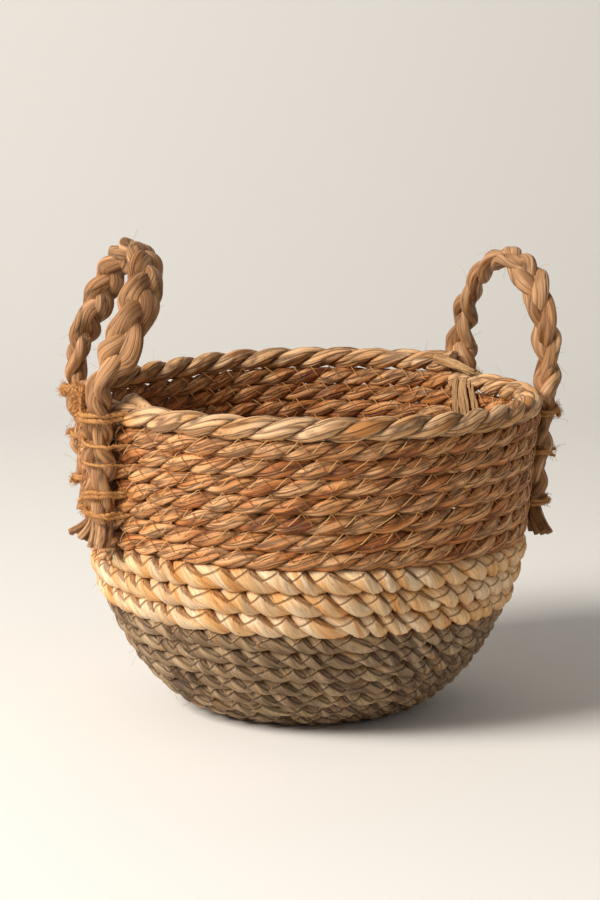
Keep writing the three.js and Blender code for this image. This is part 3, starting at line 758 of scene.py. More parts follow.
# Bleached maize husk: pale, papery and a little shiny, with warm painted shade in its seams and the thread's
# cuts
cream_husk = paint_fibres(
    "maize_husk_bleached",
    ((0.0, "#e49e55"), (0.25, "#f5bf80"), (0.5, "#fdd4a0"), (0.8, "#ffe4bd"), (1.0, "#f2b06a")),
    painted_shade_and_mark_colour="#7a4212", lobe_run=0.022, strips=1.2, fibres=13.0, contrast=0.22,
    roughness=0.45, bump=0.0007, specks=0.5, thread_cut_dent_and_shade=0.7, split=0.25, painted_crease_and_seam_shade=0.45)
# Maize husk dyed grey: the dye takes unevenly, so tan strips show between the grey ones.
# All its tones are also warmed, as painted warm bounce light
grey_husk = paint_fibres(
    "maize_husk_dyed_grey",
    ((0.0, "#644a2f"), (0.25, "#8c6f51"), (0.5, "#a88a68"), (0.75, "#c8aa83"), (1.0, "#b0804a")),
    painted_shade_and_mark_colour="#1d1207", lobe_run=0.022, strips=1.2, fibres=13.0, contrast=0.3,
    roughness=0.42, bump=0.0007, specks=0.3, thread_cut_dent_and_shade=0.7, split=0.3, painted_crease_and_seam_shade=0.5)
# Flat cattail leaf, as it grew: broad, smooth and pale, with few fibres
pale_leaf = paint_fibres(
    "cattail_leaf_dried_flat",
    ((0.0, "#ab7844"), (0.3, "#cb9a65"), (0.6, "#dfb887"), (1.0, "#bd8850")),
    painted_shade_and_mark_colour="#5a3a1c", lobe_run=0.05, strips=0.8, fibres=8.0, contrast=0.22,
    roughness=0.55, bump=0.0005, split=0.35)


# %% Thread, twine and single fibres
def plain_fibre(name, colour, roughness):
    """One even tone, for what is too thin to show a pattern."""
    material = bpy.data.materials.new(name)
    material.use_nodes = True
    shader = material.node_tree.nodes["Principled BSDF"]
    shader.inputs["Base Color"].default_value = linear(colour)
    shader.inputs["Roughness"].default_value = roughness
    return material


def two_toned_thread(name, rising, falling):
    """Sewing thread: the strands of a zigzag that run one way catch the light, the others don't."""
    material = plain_fibre(name, rising, 0.6)
    tree = material.node_tree
    add = partial(add_node, tree)
    which = add("ShaderNodeAttribute", attribute_name="falling")
    tone = add("ShaderNodeMix", {
        "Factor": which.outputs["Fac"], 6: linear(rising), 7: linear(falling)}, data_type="RGBA")
    tree.links.new(tone.outputs[2], tree.nodes["Principled BSDF"].inputs["Base Color"])
    return material


# Golden cotton thread, machine-sewn: a fine light line one way and a darker one the other
thread_cotton = two_toned_thread("cotton_thread_golden", "#d2a266", "#9c6028")
# Spun jute: quite matt, because its short hairs scatter the light
jute_twine = plain_fibre("jute_twine_two_ply", "#bd8850", 0.85)

# %% [markdown]
# ## The ropes
#
# Each stretch of rope gets its own length of lay and its own direction of twist, read off the
# photograph: the leaf rope's seams rise to the right, so it is twisted one way, and the husk
# rope's fall to the right, so it is twisted the other way. A rope is a little fuller than the
# solid, so that neighbouring turns press on each other, as sewn turns do.

# %% Rope pieces
FLOOR_LEVEL = 0.0


def fix_to_basket(piece, replaced=None):
    """Makes a piece move with the basket, and hides the solid that it stands for, if there is one."""
    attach(piece, "basket")
    if replaced:
        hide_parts(replaced)


def make_rope(name, first, last, material, slot, **sizes):
    """One stretch of twisted rope, which stands for the solid of the same name."""
    rows = rows_between(first, last)
    places = on_line(all_distances[rows], rows)
    guide = make_guide(name, [{
        "places": places, "along": lengths_along(places), "half": all_halves[rows] * MM, "out": outs[rows],
        "above": counts_above[rows]}])
    piece = grow(name + "_twisted", rope_tree, guide, Material=material, Floor=FLOOR_LEVEL, **sizes)
    fix_to_basket(piece, name)
    return piece


HUSK = {"Follow": 1.0, "Phase": 0.295, "Sides": 30, "Step": 0.0019, "Lobe Offset": 0.28, "Notch": 0.3,
        "Fullness": 1.34, "Outward Share": 0.9, "Press": 1.07, "Lump": 0.2, "Lump Length": 0.01,
        "Crease": 0.08, "Creases": 3.0}
LEAF = {"Lay": -0.0405, "Sides": 30, "Step": 0.0023, "Lobe Offset": 0.24, "Notch": 0.26, "Fullness": 1.34,
        "Untwist": 0.85, "Outward Share": 0.86, "Press": 1.1, "Lump": 0.26, "Lump Length": 0.024,
        "Crease": 0.14, "Creases": 2.0}
make_rope("base_coil", 0, GREY_START, grey_husk, "grey_husk", Seed=1.0, **HUSK)
make_rope("grey_coil", GREY_START, CREAM_START, grey_husk, "grey_husk", Seed=20.0, **HUSK)
make_rope("cream_coil", CREAM_START, BROWN_START, cream_husk, "cream_husk", Seed=40.0, **HUSK)
make_rope("brown_coil", BROWN_START, RIM_START, cattail_leaf, "brown_leaf", Seed=60.0, **LEAF)
make_rope("rim_rope", RIM_START, RIM_END, rim_leaf, "rim_leaf", Seed=80.0,
          **{**LEAF, "Lay": -0.047, "Sides": 36, "Fullness": 1.16, "Outward Share": 1.0})

# %% [markdown]
# ## The sewing thread
#
# Each turn is sewn to the one below by machine, with a zigzag over the groove. The stitch runs
# from the middle of one turn to the middle of the other and back, so it lies across both like a
# small bridge, and at each end the needle takes it into the rope. The same seam shows inside.

# %% Tree: zigzag stitches over a groove
SINK_POWER = 7.0
THREAD_SIDES = 5


def make_stitch_tree():
    """Thread that zigzags over the line of a groove."""
    add, given = start_tree("zigzag_stitches", {
        "Step": 0.0014, "Sink": 0.0032, "Side": 1.0, "Thread": 0.00027, "Floor": 0.0, "Material": None})
    counted, stand_off, height_of, drop_of, bury = (
        add("GeometryNodeInputNamedAttribute", {"Name": name}, data_type="FLOAT")
        for name in ("count", "stand_off", "height", "drop", "bury"))
    out, climb = (
        add("GeometryNodeInputNamedAttribute", {"Name": name}, data_type="FLOAT_VECTOR")
        for name in ("out", "climb"))
    even = space_evenly(add, given)

    across = zigzag(add, counted)
    reach = add("ShaderNodeMath", [across, height_of], operation="MULTIPLY")
    half_reach = add("ShaderNodeMath", [reach, 0.5], operation="MULTIPLY")
    dropped = add("ShaderNodeMath", [half_reach, drop_of], operation="SUBTRACT")
    rise = add("ShaderNodeVectorMath", {0: climb, "Scale": dropped}, operation="SCALE")

    share = add("ShaderNodeMath", [across], operation="ABSOLUTE")
    near_end = add("ShaderNodeMath", [share, SINK_POWER], operation="POWER")
    sunk = add("ShaderNodeMath", [near_end, given["Sink"]], operation="MULTIPLY")
    part = add("ShaderNodeMath", [counted], operation="FRACT")
    falls = add("ShaderNodeMath", [part, 0.5], operation="LESS_THAN")
    deeper = add("ShaderNodeMath", [falls, bury, sunk], operation="MULTIPLY_ADD")
    above = add("ShaderNodeMath", [stand_off, deeper], operation="SUBTRACT")
    outward = add("ShaderNodeMath", [above, given["Side"]], operation="MULTIPLY")
    lift = add("ShaderNodeVectorMath", {0: out, "Scale": outward}, operation="SCALE")
    offset = add("ShaderNodeVectorMath", [rise, lift], operation="ADD")
    sewn = add("GeometryNodeSetPosition", {"Geometry": even, "Offset": offset})
    told = add("GeometryNodeStoreNamedAttribute", {
        "Geometry": sewn, "Name": "falling", "Value": falls}, data_type="FLOAT")

    circle = add("GeometryNodeCurvePrimitiveCircle", {"Resolution": THREAD_SIDES, "Radius": given["Thread"]})
    swept = add("GeometryNodeCurveToMesh", {"Curve": told, "Profile Curve": circle, "Fill Caps": True})
    return finish_tree(add, given, keep_above(add, given, swept))


stitch_tree = make_stitch_tree()

# %% Stitches outside and inside
LEAF_STAND_OFF = 1.16
HUSK_STAND_OFF = 0.76
HUSK_BURY = 2.6
LAST_SEWN_TURN = RIM_END - 0.02
LEAF_SEAM_WAIT = 11


def groove_guide(name):
    """The line of the groove under each turn, with the directions across it and out of the wall.
    The first leaf turn is still sewn to husk, so the stitch changes nearly a turn after the rope."""
    rows = rows_between(FIRST_SEWN_TURN, LAST_SEWN_TURN)
    below = slice(rows.start - STEPS_PER_TURN, rows.stop - STEPS_PER_TURN)
    distance = (all_distances[rows] - all_halves[rows] + all_distances[below] + all_halves[below]) / 2
    places = on_line(distance, rows)
    half = (all_halves[rows] + all_halves[below]) / 2 * MM
    leaf_share = np.clip((all_turns[rows] - BROWN_START) / ROPE_BLEND_TURNS - LEAF_SEAM_WAIT, 0, 1)
    stand_off = half * (HUSK_STAND_OFF + (LEAF_STAND_OFF - HUSK_STAND_OFF) * leaf_share)
    height = (HUSK_STITCH_HEIGHT + (LEAF_STITCH_HEIGHT - HUSK_STITCH_HEIGHT) * leaf_share) * MM
    drop = (HUSK_STITCH_DROP + (LEAF_STITCH_DROP - HUSK_STITCH_DROP) * leaf_share) * MM
    return make_guide(name, [{
        "places": places, "count": stitch_counts[rows], "out": outs[rows], "climb": climbs[rows],
        "stand_off": stand_off, "height": height, "drop": drop, "bury": HUSK_BURY * MM * (1 - leaf_share)}])


for side, name in ((1.0, "stitches_outside"), (-1.0, "stitches_inside")):
    seam = grow(name, stitch_tree, groove_guide(name), Side=side, Material=thread_cotton)
    fix_to_basket(seam)

# %% [markdown]
# ## The handles' lines
#
# A handle is one long plait: up one leg, round the free loop and down the other leg. Its line is
# that of the solid model, and so is the way its flat side turns: a leg lies flat on the wall, at
# the bend the flat side faces the bend line, and in the free loop it turns a quarter round.

# %% The handles' sizes
PLAIT_HALF_THICKNESS = 6.0
SEAT_GAP = 0.3
HINGE_STAND_OFF = 1.0
HINGE_RISE = 10.5
LEG_TWIST_RISE = 14.0
LEG_BELOW_TIE = 3.0
SWING_START, SWING_END = 2.2, 0.5
HANDLES = {
    "left": {
        "legs": (
            {"name": "front", "azimuth": 217.2, "drift": -5.4, "ties": (1, 16.5, 30, 51, 62), "flare": 0.5,
             "turns": (2, 1, 1, 2, 2), "slants": (0.4, -1.4, 0.6, 2.2, -0.6), "tuft": True,
             "gauge": (1.4, 0.95, 0.8, 1.2, 1.2), "knot_at": (1.5, -13.5),
             "knot": (0.55, 0.5, 0.3, 0.6, 0.6)},
            {"name": "rear", "azimuth": 163.2, "drift": 0.0, "ties": (2, 31, 61), "flare": 0.25,
             "gauge": (1.2, 0.9, 1.1), "knot_at": (7.5, 5.0), "knot": (0.9, 0.35, 0.8)}),
        "twist_run": 42.0, "slim": (0.4, 0.8, 0.12), "seed": 5.0,
        "route": ((0, 0, 0), (0, 13, 21), (0.04, 24, 43), (0.218, 33.5, 65), (0.507, 32.5, 75.5),
                  (0.793, 23.5, 60.5), (0.941, 13.5, 36), (0.985, 6, 18), (1, 0, 0))},
    "right": {
        "legs": (
            {"name": "near", "azimuth": 8.0, "drift": 0.0, "ties": (8.5, 36.5, 67), "flare": 0.35,
             "gauge": (1.1, 0.8, 1.1), "knot_at": (7.5, -3.5), "knot": (0.5, 0.4, 0.4)},
            {"name": "rear", "azimuth": 48.0, "drift": 0.0, "ties": (9, 38, 66), "flare": 0.3,
             "gauge": (1.1, 1.0, 1.1), "knot_at": (2.0, -14.0), "knot": (0.9, 0.7, 0.9)}),
        "twist_run": 105.0, "slim": (0.2, 0.56, 0.12), "seed": 9.0,
        "route": ((0, 0, 0), (-0.01, 3, 18), (0.02, 5, 36), (0.13, 5, 52), (0.34, 4, 63),
                  (0.59, 3, 59.5), (0.8, 2.5, 44), (0.95, 1.5, 18), (1, 0, 0))},
}


def smoothstep(value, low, high):
    """A share that eases from 0 at low to 1 at high."""
    share = np.clip((value - low) / (high - low), 0, 1)
    return share * share * (3 - 2 * share)


def round_basket(radius, angle, height):
    """A place from its radius, its angle in radians and its height."""
    return np.array([radius * math.cos(angle), radius * math.sin(angle), height])


def wall_radius(height):
    """How far out the upper wall's line lies at a height."""
    return SHOULDER_RADIUS + (height - SHOULDER_HEIGHT) * math.tan(math.radians(WALL_LEAN))


def rim_turn(azimuth):
    """Where on the rope's path the rim passes an azimuth in degrees."""
    return RIM_START + ((FIRST_AZIMUTH - 360 * RIM_START - azimuth) % 360) / 360


def rim_at(azimuth):
    """The rim rope's centre at an azimuth in degrees, as radius and height."""
    distance = np.interp(rim_turn(azimuth), all_turns, all_distances)
    return np.array([np.interp(distance, line_distances, line_points[:, k]) for k in (0, 1)])


RIM_REACH = RIM_HALF * HEXAGON_CORNER
END_HEIGHT = float(np.interp(all_distances[-1], line_distances, line_points[:, 1]))
HINGE_HEIGHT = END_HEIGHT + HINGE_RISE
HINGE_OUTSET = RIM_REACH + SEAT_GAP + PLAIT_HALF_THICKNESS + HINGE_STAND_OFF


def leg_radius(azimuth, height):
    """How far out a leg's centre lies: on the wall, beside the rim, and on the bend line."""
    rim_radius, rim_height = rim_at(azimuth)
    on_wall = wall_radius(height) + BROWN_HALF * HEXAGON_CORNER + SEAT_GAP + PLAIT_HALF_THICKNESS
    on_rim = rim_radius + RIM_REACH + SEAT_GAP + PLAIT_HALF_THICKNESS
    swung = smoothstep(height, rim_height - SWING_START * RIM_HALF, rim_height - SWING_END * RIM_HALF)
    beside = on_wall + (on_rim - on_wall) * swung
    above = np.interp(height, [rim_height, HINGE_HEIGHT], [on_rim, rim_radius + HINGE_OUTSET])
    return np.where(height <= rim_height, beside, above)


print("bend height", round(HINGE_HEIGHT, 2), "mm, rim at the front", rim_at(-90).round(2))


# %% Smooth lines through points
def smooth_line(points, spacing):
    """Places with even spacing on the centripetal Catmull-Rom curve through the points."""
    points = np.asarray(points, float)
    ends = np.vstack([2 * points[0] - points[1], points, 2 * points[-1] - points[-2]])
    knots = np.concatenate([[0], np.cumsum(np.sqrt(np.linalg.norm(np.diff(ends, axis=0), axis=1)))])
    share = np.linspace(0, 1, 60, endpoint=False)[:, None]
    pieces = []
    for k in range(1, len(ends) - 2):
        before, start, end, after = ends[k - 1:k + 3]
        gap_before, gap, gap_after = np.diff(knots[k - 1:k + 3])
        leave = gap * ((start - before) / gap_before - (end - before) / (gap_before + gap)
                       + (end - start) / gap)
        arrive = gap * ((end - start) / gap - (after - start) / (gap + gap_after)
                        + (after - end) / gap_after)
        pieces.append((2 * share ** 3 - 3 * share ** 2 + 1) * start
                      + (share ** 3 - 2 * share ** 2 + share) * leave
                      + (3 * share ** 2 - 2 * share ** 3) * end + (share ** 3 - share ** 2) * arrive)
    dense = np.vstack([*pieces, points[-1:]])
    lengths = lengths_along(dense)
    even = np.linspace(0, lengths[-1], max(2, round(lengths[-1] / spacing) + 1))
    return np.stack([np.interp(even, lengths, dense[:, k]) for k in range(3)], 1)


def tangents(places):
    """The direction of a line at each of its points."""
    run = np.gradient(places, axis=0)
    return run / np.linalg.norm(run, axis=1)[:, None]


def bend_point(azimuth):
    """The place of the bend over a leg."""
    return round_basket(rim_at(azimuth)[0] + HINGE_OUTSET, math.radians(azimuth), HINGE_HEIGHT)


# %% One handle's line, with the direction of its flat side
def foot_of(leg):
    """The height of a leg's lower end."""
    return rim_at(leg["azimuth"])[1] - max(leg["ties"]) - LEG_BELOW_TIE


def leg_angle(leg, height):
    """Where round the basket a leg passes a height, in radians."""
    share = (HINGE_HEIGHT - height) / (HINGE_HEIGHT - foot_of(leg))
    return np.radians(leg["azimuth"] + leg["drift"] * share)


def leg_line(leg, line_angle):
    """A leg's places from its foot up to the bend, and the direction of its width."""
    azimuth = leg["azimuth"]
    heights = np.linspace(foot_of(leg), HINGE_HEIGHT, 60)
    radius = leg_radius(azimuth, heights)
    angle = leg_angle(leg, heights)
    twist = line_angle - math.radians(azimuth) - math.pi / 2
    twist -= math.pi * round(twist / math.pi)
    turned = angle + twist * smoothstep(heights, HINGE_HEIGHT - LEG_TWIST_RISE, HINGE_HEIGHT)
    places = np.stack([radius * np.cos(angle), radius * np.sin(angle), heights], 1)
    wide = np.stack([-np.sin(turned), np.cos(turned), 0 * turned], 1)
    return places, wide


def loop_line(handle, first, second):
    """The free loop's places from one bend to the other, and the direction of its width."""
    span = np.linalg.norm(second - first)
    line = (second - first) / span
    inwards = np.cross([0, 0, 1], line)
    inwards *= -np.sign(np.dot(inwards, (first + second) / 2))
    route = [first + share * span * line + lean * inwards + rise * np.array([0, 0, 1])
             for share, lean, rise in handle["route"]]
    places = smooth_line(route, 2.0)
    along = tangents(places)
    strongest = max(math.atan2(lean, rise) for _, lean, rise in handle["route"] if rise > 0)
    across = math.cos(strongest) * inwards - math.sin(strongest) * np.array([0, 0, 1])
    in_plane = np.cross(across, along)
    in_plane /= np.linalg.norm(in_plane, axis=1)[:, None]
    out_of_plane = np.cross(along, in_plane)
    lengths = lengths_along(places)
    from_end = np.minimum(lengths, lengths[-1] - lengths)
    twist = (math.pi / 2 * smoothstep(from_end, 0, handle["twist_run"]))[:, None]
    return places, np.cos(twist) * in_plane + np.sin(twist) * out_of_plane


def handle_line(handle):
    """The whole plait's line in millimetres, with its wide and thick directions."""
    legs = handle["legs"]
    first, second = (bend_point(leg["azimuth"]) for leg in legs)
    line_angle = math.atan2(second[1] - first[1], second[0] - first[0])
    up_leg, up_wide = leg_line(legs[0], line_angle)
    loop, loop_wide = loop_line(handle, first, second)
    down_leg, down_wide = (part[::-1] for part in leg_line(legs[1], line_angle))
    places = np.vstack([up_leg, loop[1:-1], down_leg])
    wide = np.vstack([up_wide, loop_wide[1:-1], down_wide])
    for k in range(1, len(wide)):
        if np.dot(wide[k], wide[k - 1]) < 0:
            wide[k] *= -1
    along = tangents(places)
    wide -= np.sum(wide * along, axis=1)[:, None] * along
    wide /= np.linalg.norm(wide, axis=1)[:, None]
    return places, wide, np.cross(along, wide)


# %% [markdown]
# ## The plait
#
# In a flat plait of three strands each strand swings from edge to edge, and lies on top on its
# way out to an edge and underneath on its way back. Side to side that is a sine, front to back a
# sine of twice the rate, and the three strands are a third of a period apart. The tree copies the
# line three times and moves the copies by that rule. Where twine ties a leg, it is drawn in.

# %% Tree: flat plait of three strands
DWELL = 0.05
STRAND_SHIFT = 5.3
SECTION_POWER = 0.92


def make_plait_tree():
    """Three strands that plait themselves along a guide."""
    add, given = start_tree("flat_plait", {
        "Period": 0.07, "Swing": 0.0060, "Weave": 0.0027, "Lean": 0.4, "Strand Width": 0.0076,
        "Strand Thickness": 0.0047, "Dive": 0.1, "Sides": 32, "Step": 0.0018, "Lump": 0.16,
        "Lump Length": 0.025, "Crease": 0.1, "Creases": 2.0, "Seed": 0.0, "Material": None})
    along, pinch, strand_size = (
        add("GeometryNodeInputNamedAttribute", {"Name": name}, data_type="FLOAT")
        for name in ("along", "pinch", "size"))
    wide, thick = (
        add("GeometryNodeInputNamedAttribute", {"Name": name}, data_type="FLOAT_VECTOR")
        for name in ("wide", "thick"))
    even = space_evenly(add, given)
    strands = add("GeometryNodeDuplicateElements", {"Geometry": even, "Amount": 3}, domain="SPLINE")

    run = add("ShaderNodeMath", [along, given["Period"]], operation="DIVIDE")
    third = add("ShaderNodeMath", [strands.outputs[1], 3.0], operation="DIVIDE")
    shifted = add("ShaderNodeMath", [run, third], operation="ADD")
    phase = add("ShaderNodeMath", [shifted, 2 * math.pi], operation="MULTIPLY")
    sine = add("ShaderNodeMath", [phase], operation="SINE")
    triple = add("ShaderNodeMath", [phase, 3.0], operation="MULTIPLY")
    third_sine = add("ShaderNodeMath", [triple], operation="SINE")
    dwell = add("ShaderNodeMath", [third_sine, DWELL, sine], operation="MULTIPLY_ADD")
    swing = add("ShaderNodeMath", [dwell, 1 + DWELL], operation="MULTIPLY")
    double = add("ShaderNodeMath", [phase, 2.0], operation="MULTIPLY")
    weave = add("ShaderNodeMath", [double], operation="SINE")
    moves = []
    for direction, amount, size in ((wide, swing, given["Swing"]), (thick, weave, given["Weave"])):
        sized = add("ShaderNodeMath", [amount, size], operation="MULTIPLY")
        drawn = add("ShaderNodeMath", [sized, pinch], operation="MULTIPLY")
        moves.append(add("ShaderNodeVectorMath", {0: direction, "Scale": drawn}, operation="SCALE"))
    offset = add("ShaderNodeVectorMath", [moves[0], moves[1]], operation="ADD")
    woven = add("GeometryNodeSetPosition", {"Geometry": strands, "Offset": offset})
    own = add("ShaderNodeMath", [strands.outputs[1], STRAND_SHIFT, along], operation="MULTIPLY_ADD")
    told = add("GeometryNodeStoreNamedAttribute", {
        "Geometry": woven, "Name": "along", "Value": own}, data_type="FLOAT")
    edgeward = add("ShaderNodeMath", [sine, weave], operation="MULTIPLY")
    leaning = add("ShaderNodeMath", [edgeward, given["Lean"]], operation="MULTIPLY")
    dipping = add("ShaderNodeVectorMath", {0: thick, "Scale": leaning}, operation="SCALE")
    facing = add("ShaderNodeVectorMath", [wide, dipping], operation="SUBTRACT")
    framed = add("GeometryNodeSetCurveNormal", {"Curve": told, "Normal": facing}, mode="FREE")

    marked, parts = plain_section(add, given)
    across = add("ShaderNodeMath", [parts, given["Strand Width"]], operation="MULTIPLY")
    far = add("ShaderNodeMath", [parts.outputs[1]], operation="ABSOLUTE")
    fuller = add("ShaderNodeMath", [far, SECTION_POWER], operation="POWER")
    which = add("ShaderNodeMath", [parts.outputs[1]], operation="SIGN")
    boxed = add("ShaderNodeMath", [fuller, which], operation="MULTIPLY")
    deep = add("ShaderNodeMath", [boxed, given["Strand Thickness"]], operation="MULTIPLY")
    shape = add("ShaderNodeCombineXYZ", [across, deep])
    profile = add("GeometryNodeSetPosition", {"Geometry": marked, "Position": shape})
    lower = add("ShaderNodeMath", [1.0, weave], operation="SUBTRACT")
    narrowed = add("ShaderNodeMath", [lower, given["Dive"]], operation="MULTIPLY")
    full = add("ShaderNodeMath", [1.0, narrowed], operation="SUBTRACT")
    size = add("ShaderNodeMath", [full, pinch], operation="MULTIPLY")
    sized_at = add("GeometryNodeStoreNamedAttribute", {
        "Geometry": framed, "Name": "size", "Value": size}, data_type="FLOAT")
    swept = add("GeometryNodeCurveToMesh", {
        "Curve": sized_at, "Profile Curve": profile, "Scale": strand_size,
        "Fill Caps": True})
    return finish_leaf(add, given, swept)


plait_tree = make_plait_tree()

# %% The two plaited handles
TIE_REACH = 5.0
TIE_PINCH = 0.13
LEG_FULLER = 0.09
LEG_FULLER_FADE = 12
STRAND_HALF = 0.005


def make_handle(side, handle):
    """A handle's plait, tied at its legs, that bends where the loop leaves them."""
    places, wide, thick = handle_line(handle)
    share = lengths_along(places) / lengths_along(places)[-1]
    low, high, slimmer = handle["slim"]
    on_legs = 1 - smoothstep(places[:, 2], HINGE_HEIGHT - LEG_FULLER_FADE, HINGE_HEIGHT)
    pinch = 1 + LEG_FULLER * on_legs
    pinch -= slimmer * smoothstep(share, low, low + 0.1) * smoothstep(-share, -high, 0.1 - high)
    middle = len(places) // 2
    for leg, own_half in zip(handle["legs"], (slice(None, middle), slice(middle, None))):
        for depth in leg["ties"]:
            tie_height = rim_at(leg["azimuth"])[1] - depth
            pinch[own_half] -= TIE_PINCH * np.exp(-((places[own_half, 2] - tie_height) / TIE_REACH) ** 2)
    guide = make_guide(side + "_plait", [{
        "places": places * MM, "along": lengths_along(places * MM),
        "half": np.full(len(places), STRAND_HALF), "pinch": pinch, "wide": wide, "thick": thick}])
    plait = grow(side + "_handle_plait", plait_tree, guide, Seed=handle["seed"], Material=plait_leaf)
    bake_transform(plait)
    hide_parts(side + "_handle_loop", *(f"{side}_{leg['name']}_leg" for leg in handle["legs"]))


for side, handle in HANDLES.items():
    make_handle(side, handle)

# %% [markdown]
# ## Twine ties
#
# Jute twine is two soft yarns twisted together, so the rope's tree makes it too, with a short lay
# and a small thickness. Each tie goes once or twice round the outer side of a leg and into the
# wall, between its turns. Its knot is a few small tangled loops with two cut ends. Jute is hairy,
# so short fine hairs stand off it.

# %% Tree: hairs that stand on a surface
HAIR_STEPS = HAIR_SIDES = 3
HAIR_BEND, HAIR_TIP = (0, 0, 0.6), (0.45, 0, 1.0)
HAIR_TURN = 3.1
SHORTEST_HAIR = 0.4


def make_hair_tree():
    """Fine hairs on a mesh, with the mesh itself or without it."""
    add, given = start_tree("standing_hairs", {
        "Density": 60000.0, "Length": 0.004, "Thickness": 0.00012, "Lean": 1.0, "Seed": 1, "Keep": True,
        "Floor": 0.0003, "Material": None})
    points = add("GeometryNodeDistributePointsOnFaces", {
        "Mesh": given["Geometry"], "Density": given["Density"], "Seed": given["Seed"]})
    line = add("GeometryNodeCurveQuadraticBezier", {
        "Resolution": HAIR_STEPS, "Start": (0, 0, 0), "Middle": HAIR_BEND, "End": HAIR_TIP})
    thin = add("ShaderNodeMath", [given["Thickness"], given["Length"]], operation="DIVIDE")
    circle = add("GeometryNodeCurvePrimitiveCircle", {"Resolution": HAIR_SIDES, "Radius": thin})
    hair = add("GeometryNodeCurveToMesh", {"Curve": line, "Profile Curve": circle, "Fill Caps": True})
    low = add("ShaderNodeMath", [given["Lean"], -1.0], operation="MULTIPLY")
    tilt = add("FunctionNodeRandomValue", {
        0: add("ShaderNodeCombineXYZ", [low, low, -HAIR_TURN]),
        1: add("ShaderNodeCombineXYZ", [given["Lean"], given["Lean"], HAIR_TURN]),
        "Seed": given["Seed"]}, data_type="FLOAT_VECTOR")
    stance = add("FunctionNodeAlignRotationToVector", {"Vector": points.outputs["Normal"]}, axis="Z")
    turned = add("FunctionNodeRotateRotation", {
        "Rotation": stance, "Rotate By": tilt}, rotation_space="LOCAL")
    small = add("ShaderNodeMath", [given["Length"], SHORTEST_HAIR], operation="MULTIPLY")
    size = add("FunctionNodeRandomValue", {
        2: small, 3: given["Length"], "Seed": given["Seed"]}, data_type="FLOAT")
    placed = add("GeometryNodeInstanceOnPoints", {
        "Points": points.outputs["Points"], "Instance": hair, "Rotation": turned,
        "Scale": size.outputs[1]})
    real = add("GeometryNodeRealizeInstances", {"Geometry": placed})
    flat = keep_above(add, given, real)
    painted = add("GeometryNodeSetMaterial", {"Geometry": flat, "Material": given["Material"]})
    surface = add("GeometryNodeSwitch", {
        "Switch": given["Keep"], "True": given["Geometry"]}, input_type="GEOMETRY")
    joined = add("GeometryNodeJoinGeometry", [painted])
    tree = joined.id_data
    tree.links.new(surface.outputs[0], joined.inputs[0])
    return add("NodeGroupOutput", [joined]).id_data


hair_tree = make_hair_tree()


def add_hairs(piece, material, **sizes):
    """The piece again, with hairs standing on it."""
    name = piece.name
    mesh = piece.data
    bpy.data.objects.remove(piece)
    return grow(name, hair_tree, mesh, Material=material, **sizes)


# %% Ties and their knots
TWINE_HALF = 1.25
TIE_HALF_ACROSS = 13.6
TIE_HALF_OUT = 7.9
TIE_INTO_WALL = 42.0
TIE_START_DEPTH = 4.0
USUAL_TURNS, USUAL_SLANTS = (2, 2, 2), (1.5, -1.0, 1.5)
KNOT_STEPS, KNOT_RATES, KNOT_GAUGE = 13, (2.3, 1.7, 2.9), 0.9
TUFT_PLACE = 17.0
KNOT_SPREAD = 3.2
TUFT_SPREAD = (4.0, 4.5, 7.5)
TUFT_RISE = 9.0
TUFT_STRANDS, TUFT_GAUGE = 6, 0.8


def in_leg_frame(leg, height, points):
    """Places from out, along the wall and up, measured at a leg's centre, in metres."""
    angle = float(leg_angle(leg, height))
    out, along = round_basket(1, angle, 0), round_basket(1, angle + math.pi / 2, 0)
    centre = float(leg_radius(leg["azimuth"], np.array([height]))[0]) * out + np.array([0, 0, height])
    points = np.asarray(points, float)
    up = np.array([0, 0, 1])
    return (centre + points[:, :1] * out + points[:, 1:2] * along + points[:, 2:] * up) * MM


def twine_line(places, gauge):
    """A stretch of twine through places, with the values that the rope's tree reads."""
    even = smooth_line(places, 0.0008)
    along = tangents(even)
    side = np.cross(along, [0.13, 0.21, 0.97])
    side /= np.linalg.norm(side, axis=1)[:, None]
    return {"places": even, "along": lengths_along(even), "out": side,
            "half": np.full(len(even), gauge * TWINE_HALF * MM)}


def tie_turn(turn, slant, gauge, rng):
    """One turn of a tie in the leg's frame, from the wall round the leg's outside to the wall."""
    points = [(-TIE_HALF_OUT - TIE_START_DEPTH, TIE_HALF_ACROSS + rng.uniform(1, 5),
               slant * 1.6 + turn + rng.uniform(-2, 2))]
    rise = turn * rng.uniform(0.8, 1.1) * gauge
    sway = rng.uniform(-2.2, 2.2)
    for degrees in np.linspace(-TIE_INTO_WALL / 2, 180 + TIE_INTO_WALL, 9):
        angle = math.radians(degrees)
        out = TIE_HALF_OUT * math.sin(angle) + rng.uniform(-0.3, 0.5)
        up = slant * math.cos(angle) + rise + sway * math.sin(angle) * turn * 0.4 + rng.uniform(-0.5, 0.5)
        points.append((out, TIE_HALF_ACROSS * math.cos(angle), up))
    return points


def tangle(middle, spread, rng):
    """Small loops that swing about a knot's middle at three unlike rates, with two cut ends."""
    starts = [rng.uniform(0, 6) for _ in range(3)]
    knot = []
    for step in range(KNOT_STEPS):
        turned = np.array([math.sin(starts[k] + step * rate) for k, rate in enumerate(KNOT_RATES)])
        knot.append(middle + spread * turned + np.array([rng.uniform(-0.8, 0.8) for _ in range(3)]))
    for end, place in ((0, 0), (-1, KNOT_STEPS + 1)):
        away = math.copysign(1, middle[1])
        stray = np.array([rng.uniform(0, 4), rng.uniform(1, 4) * away, rng.uniform(-4, 4)])
        knot.insert(place, knot[end] + stray)
    return knot


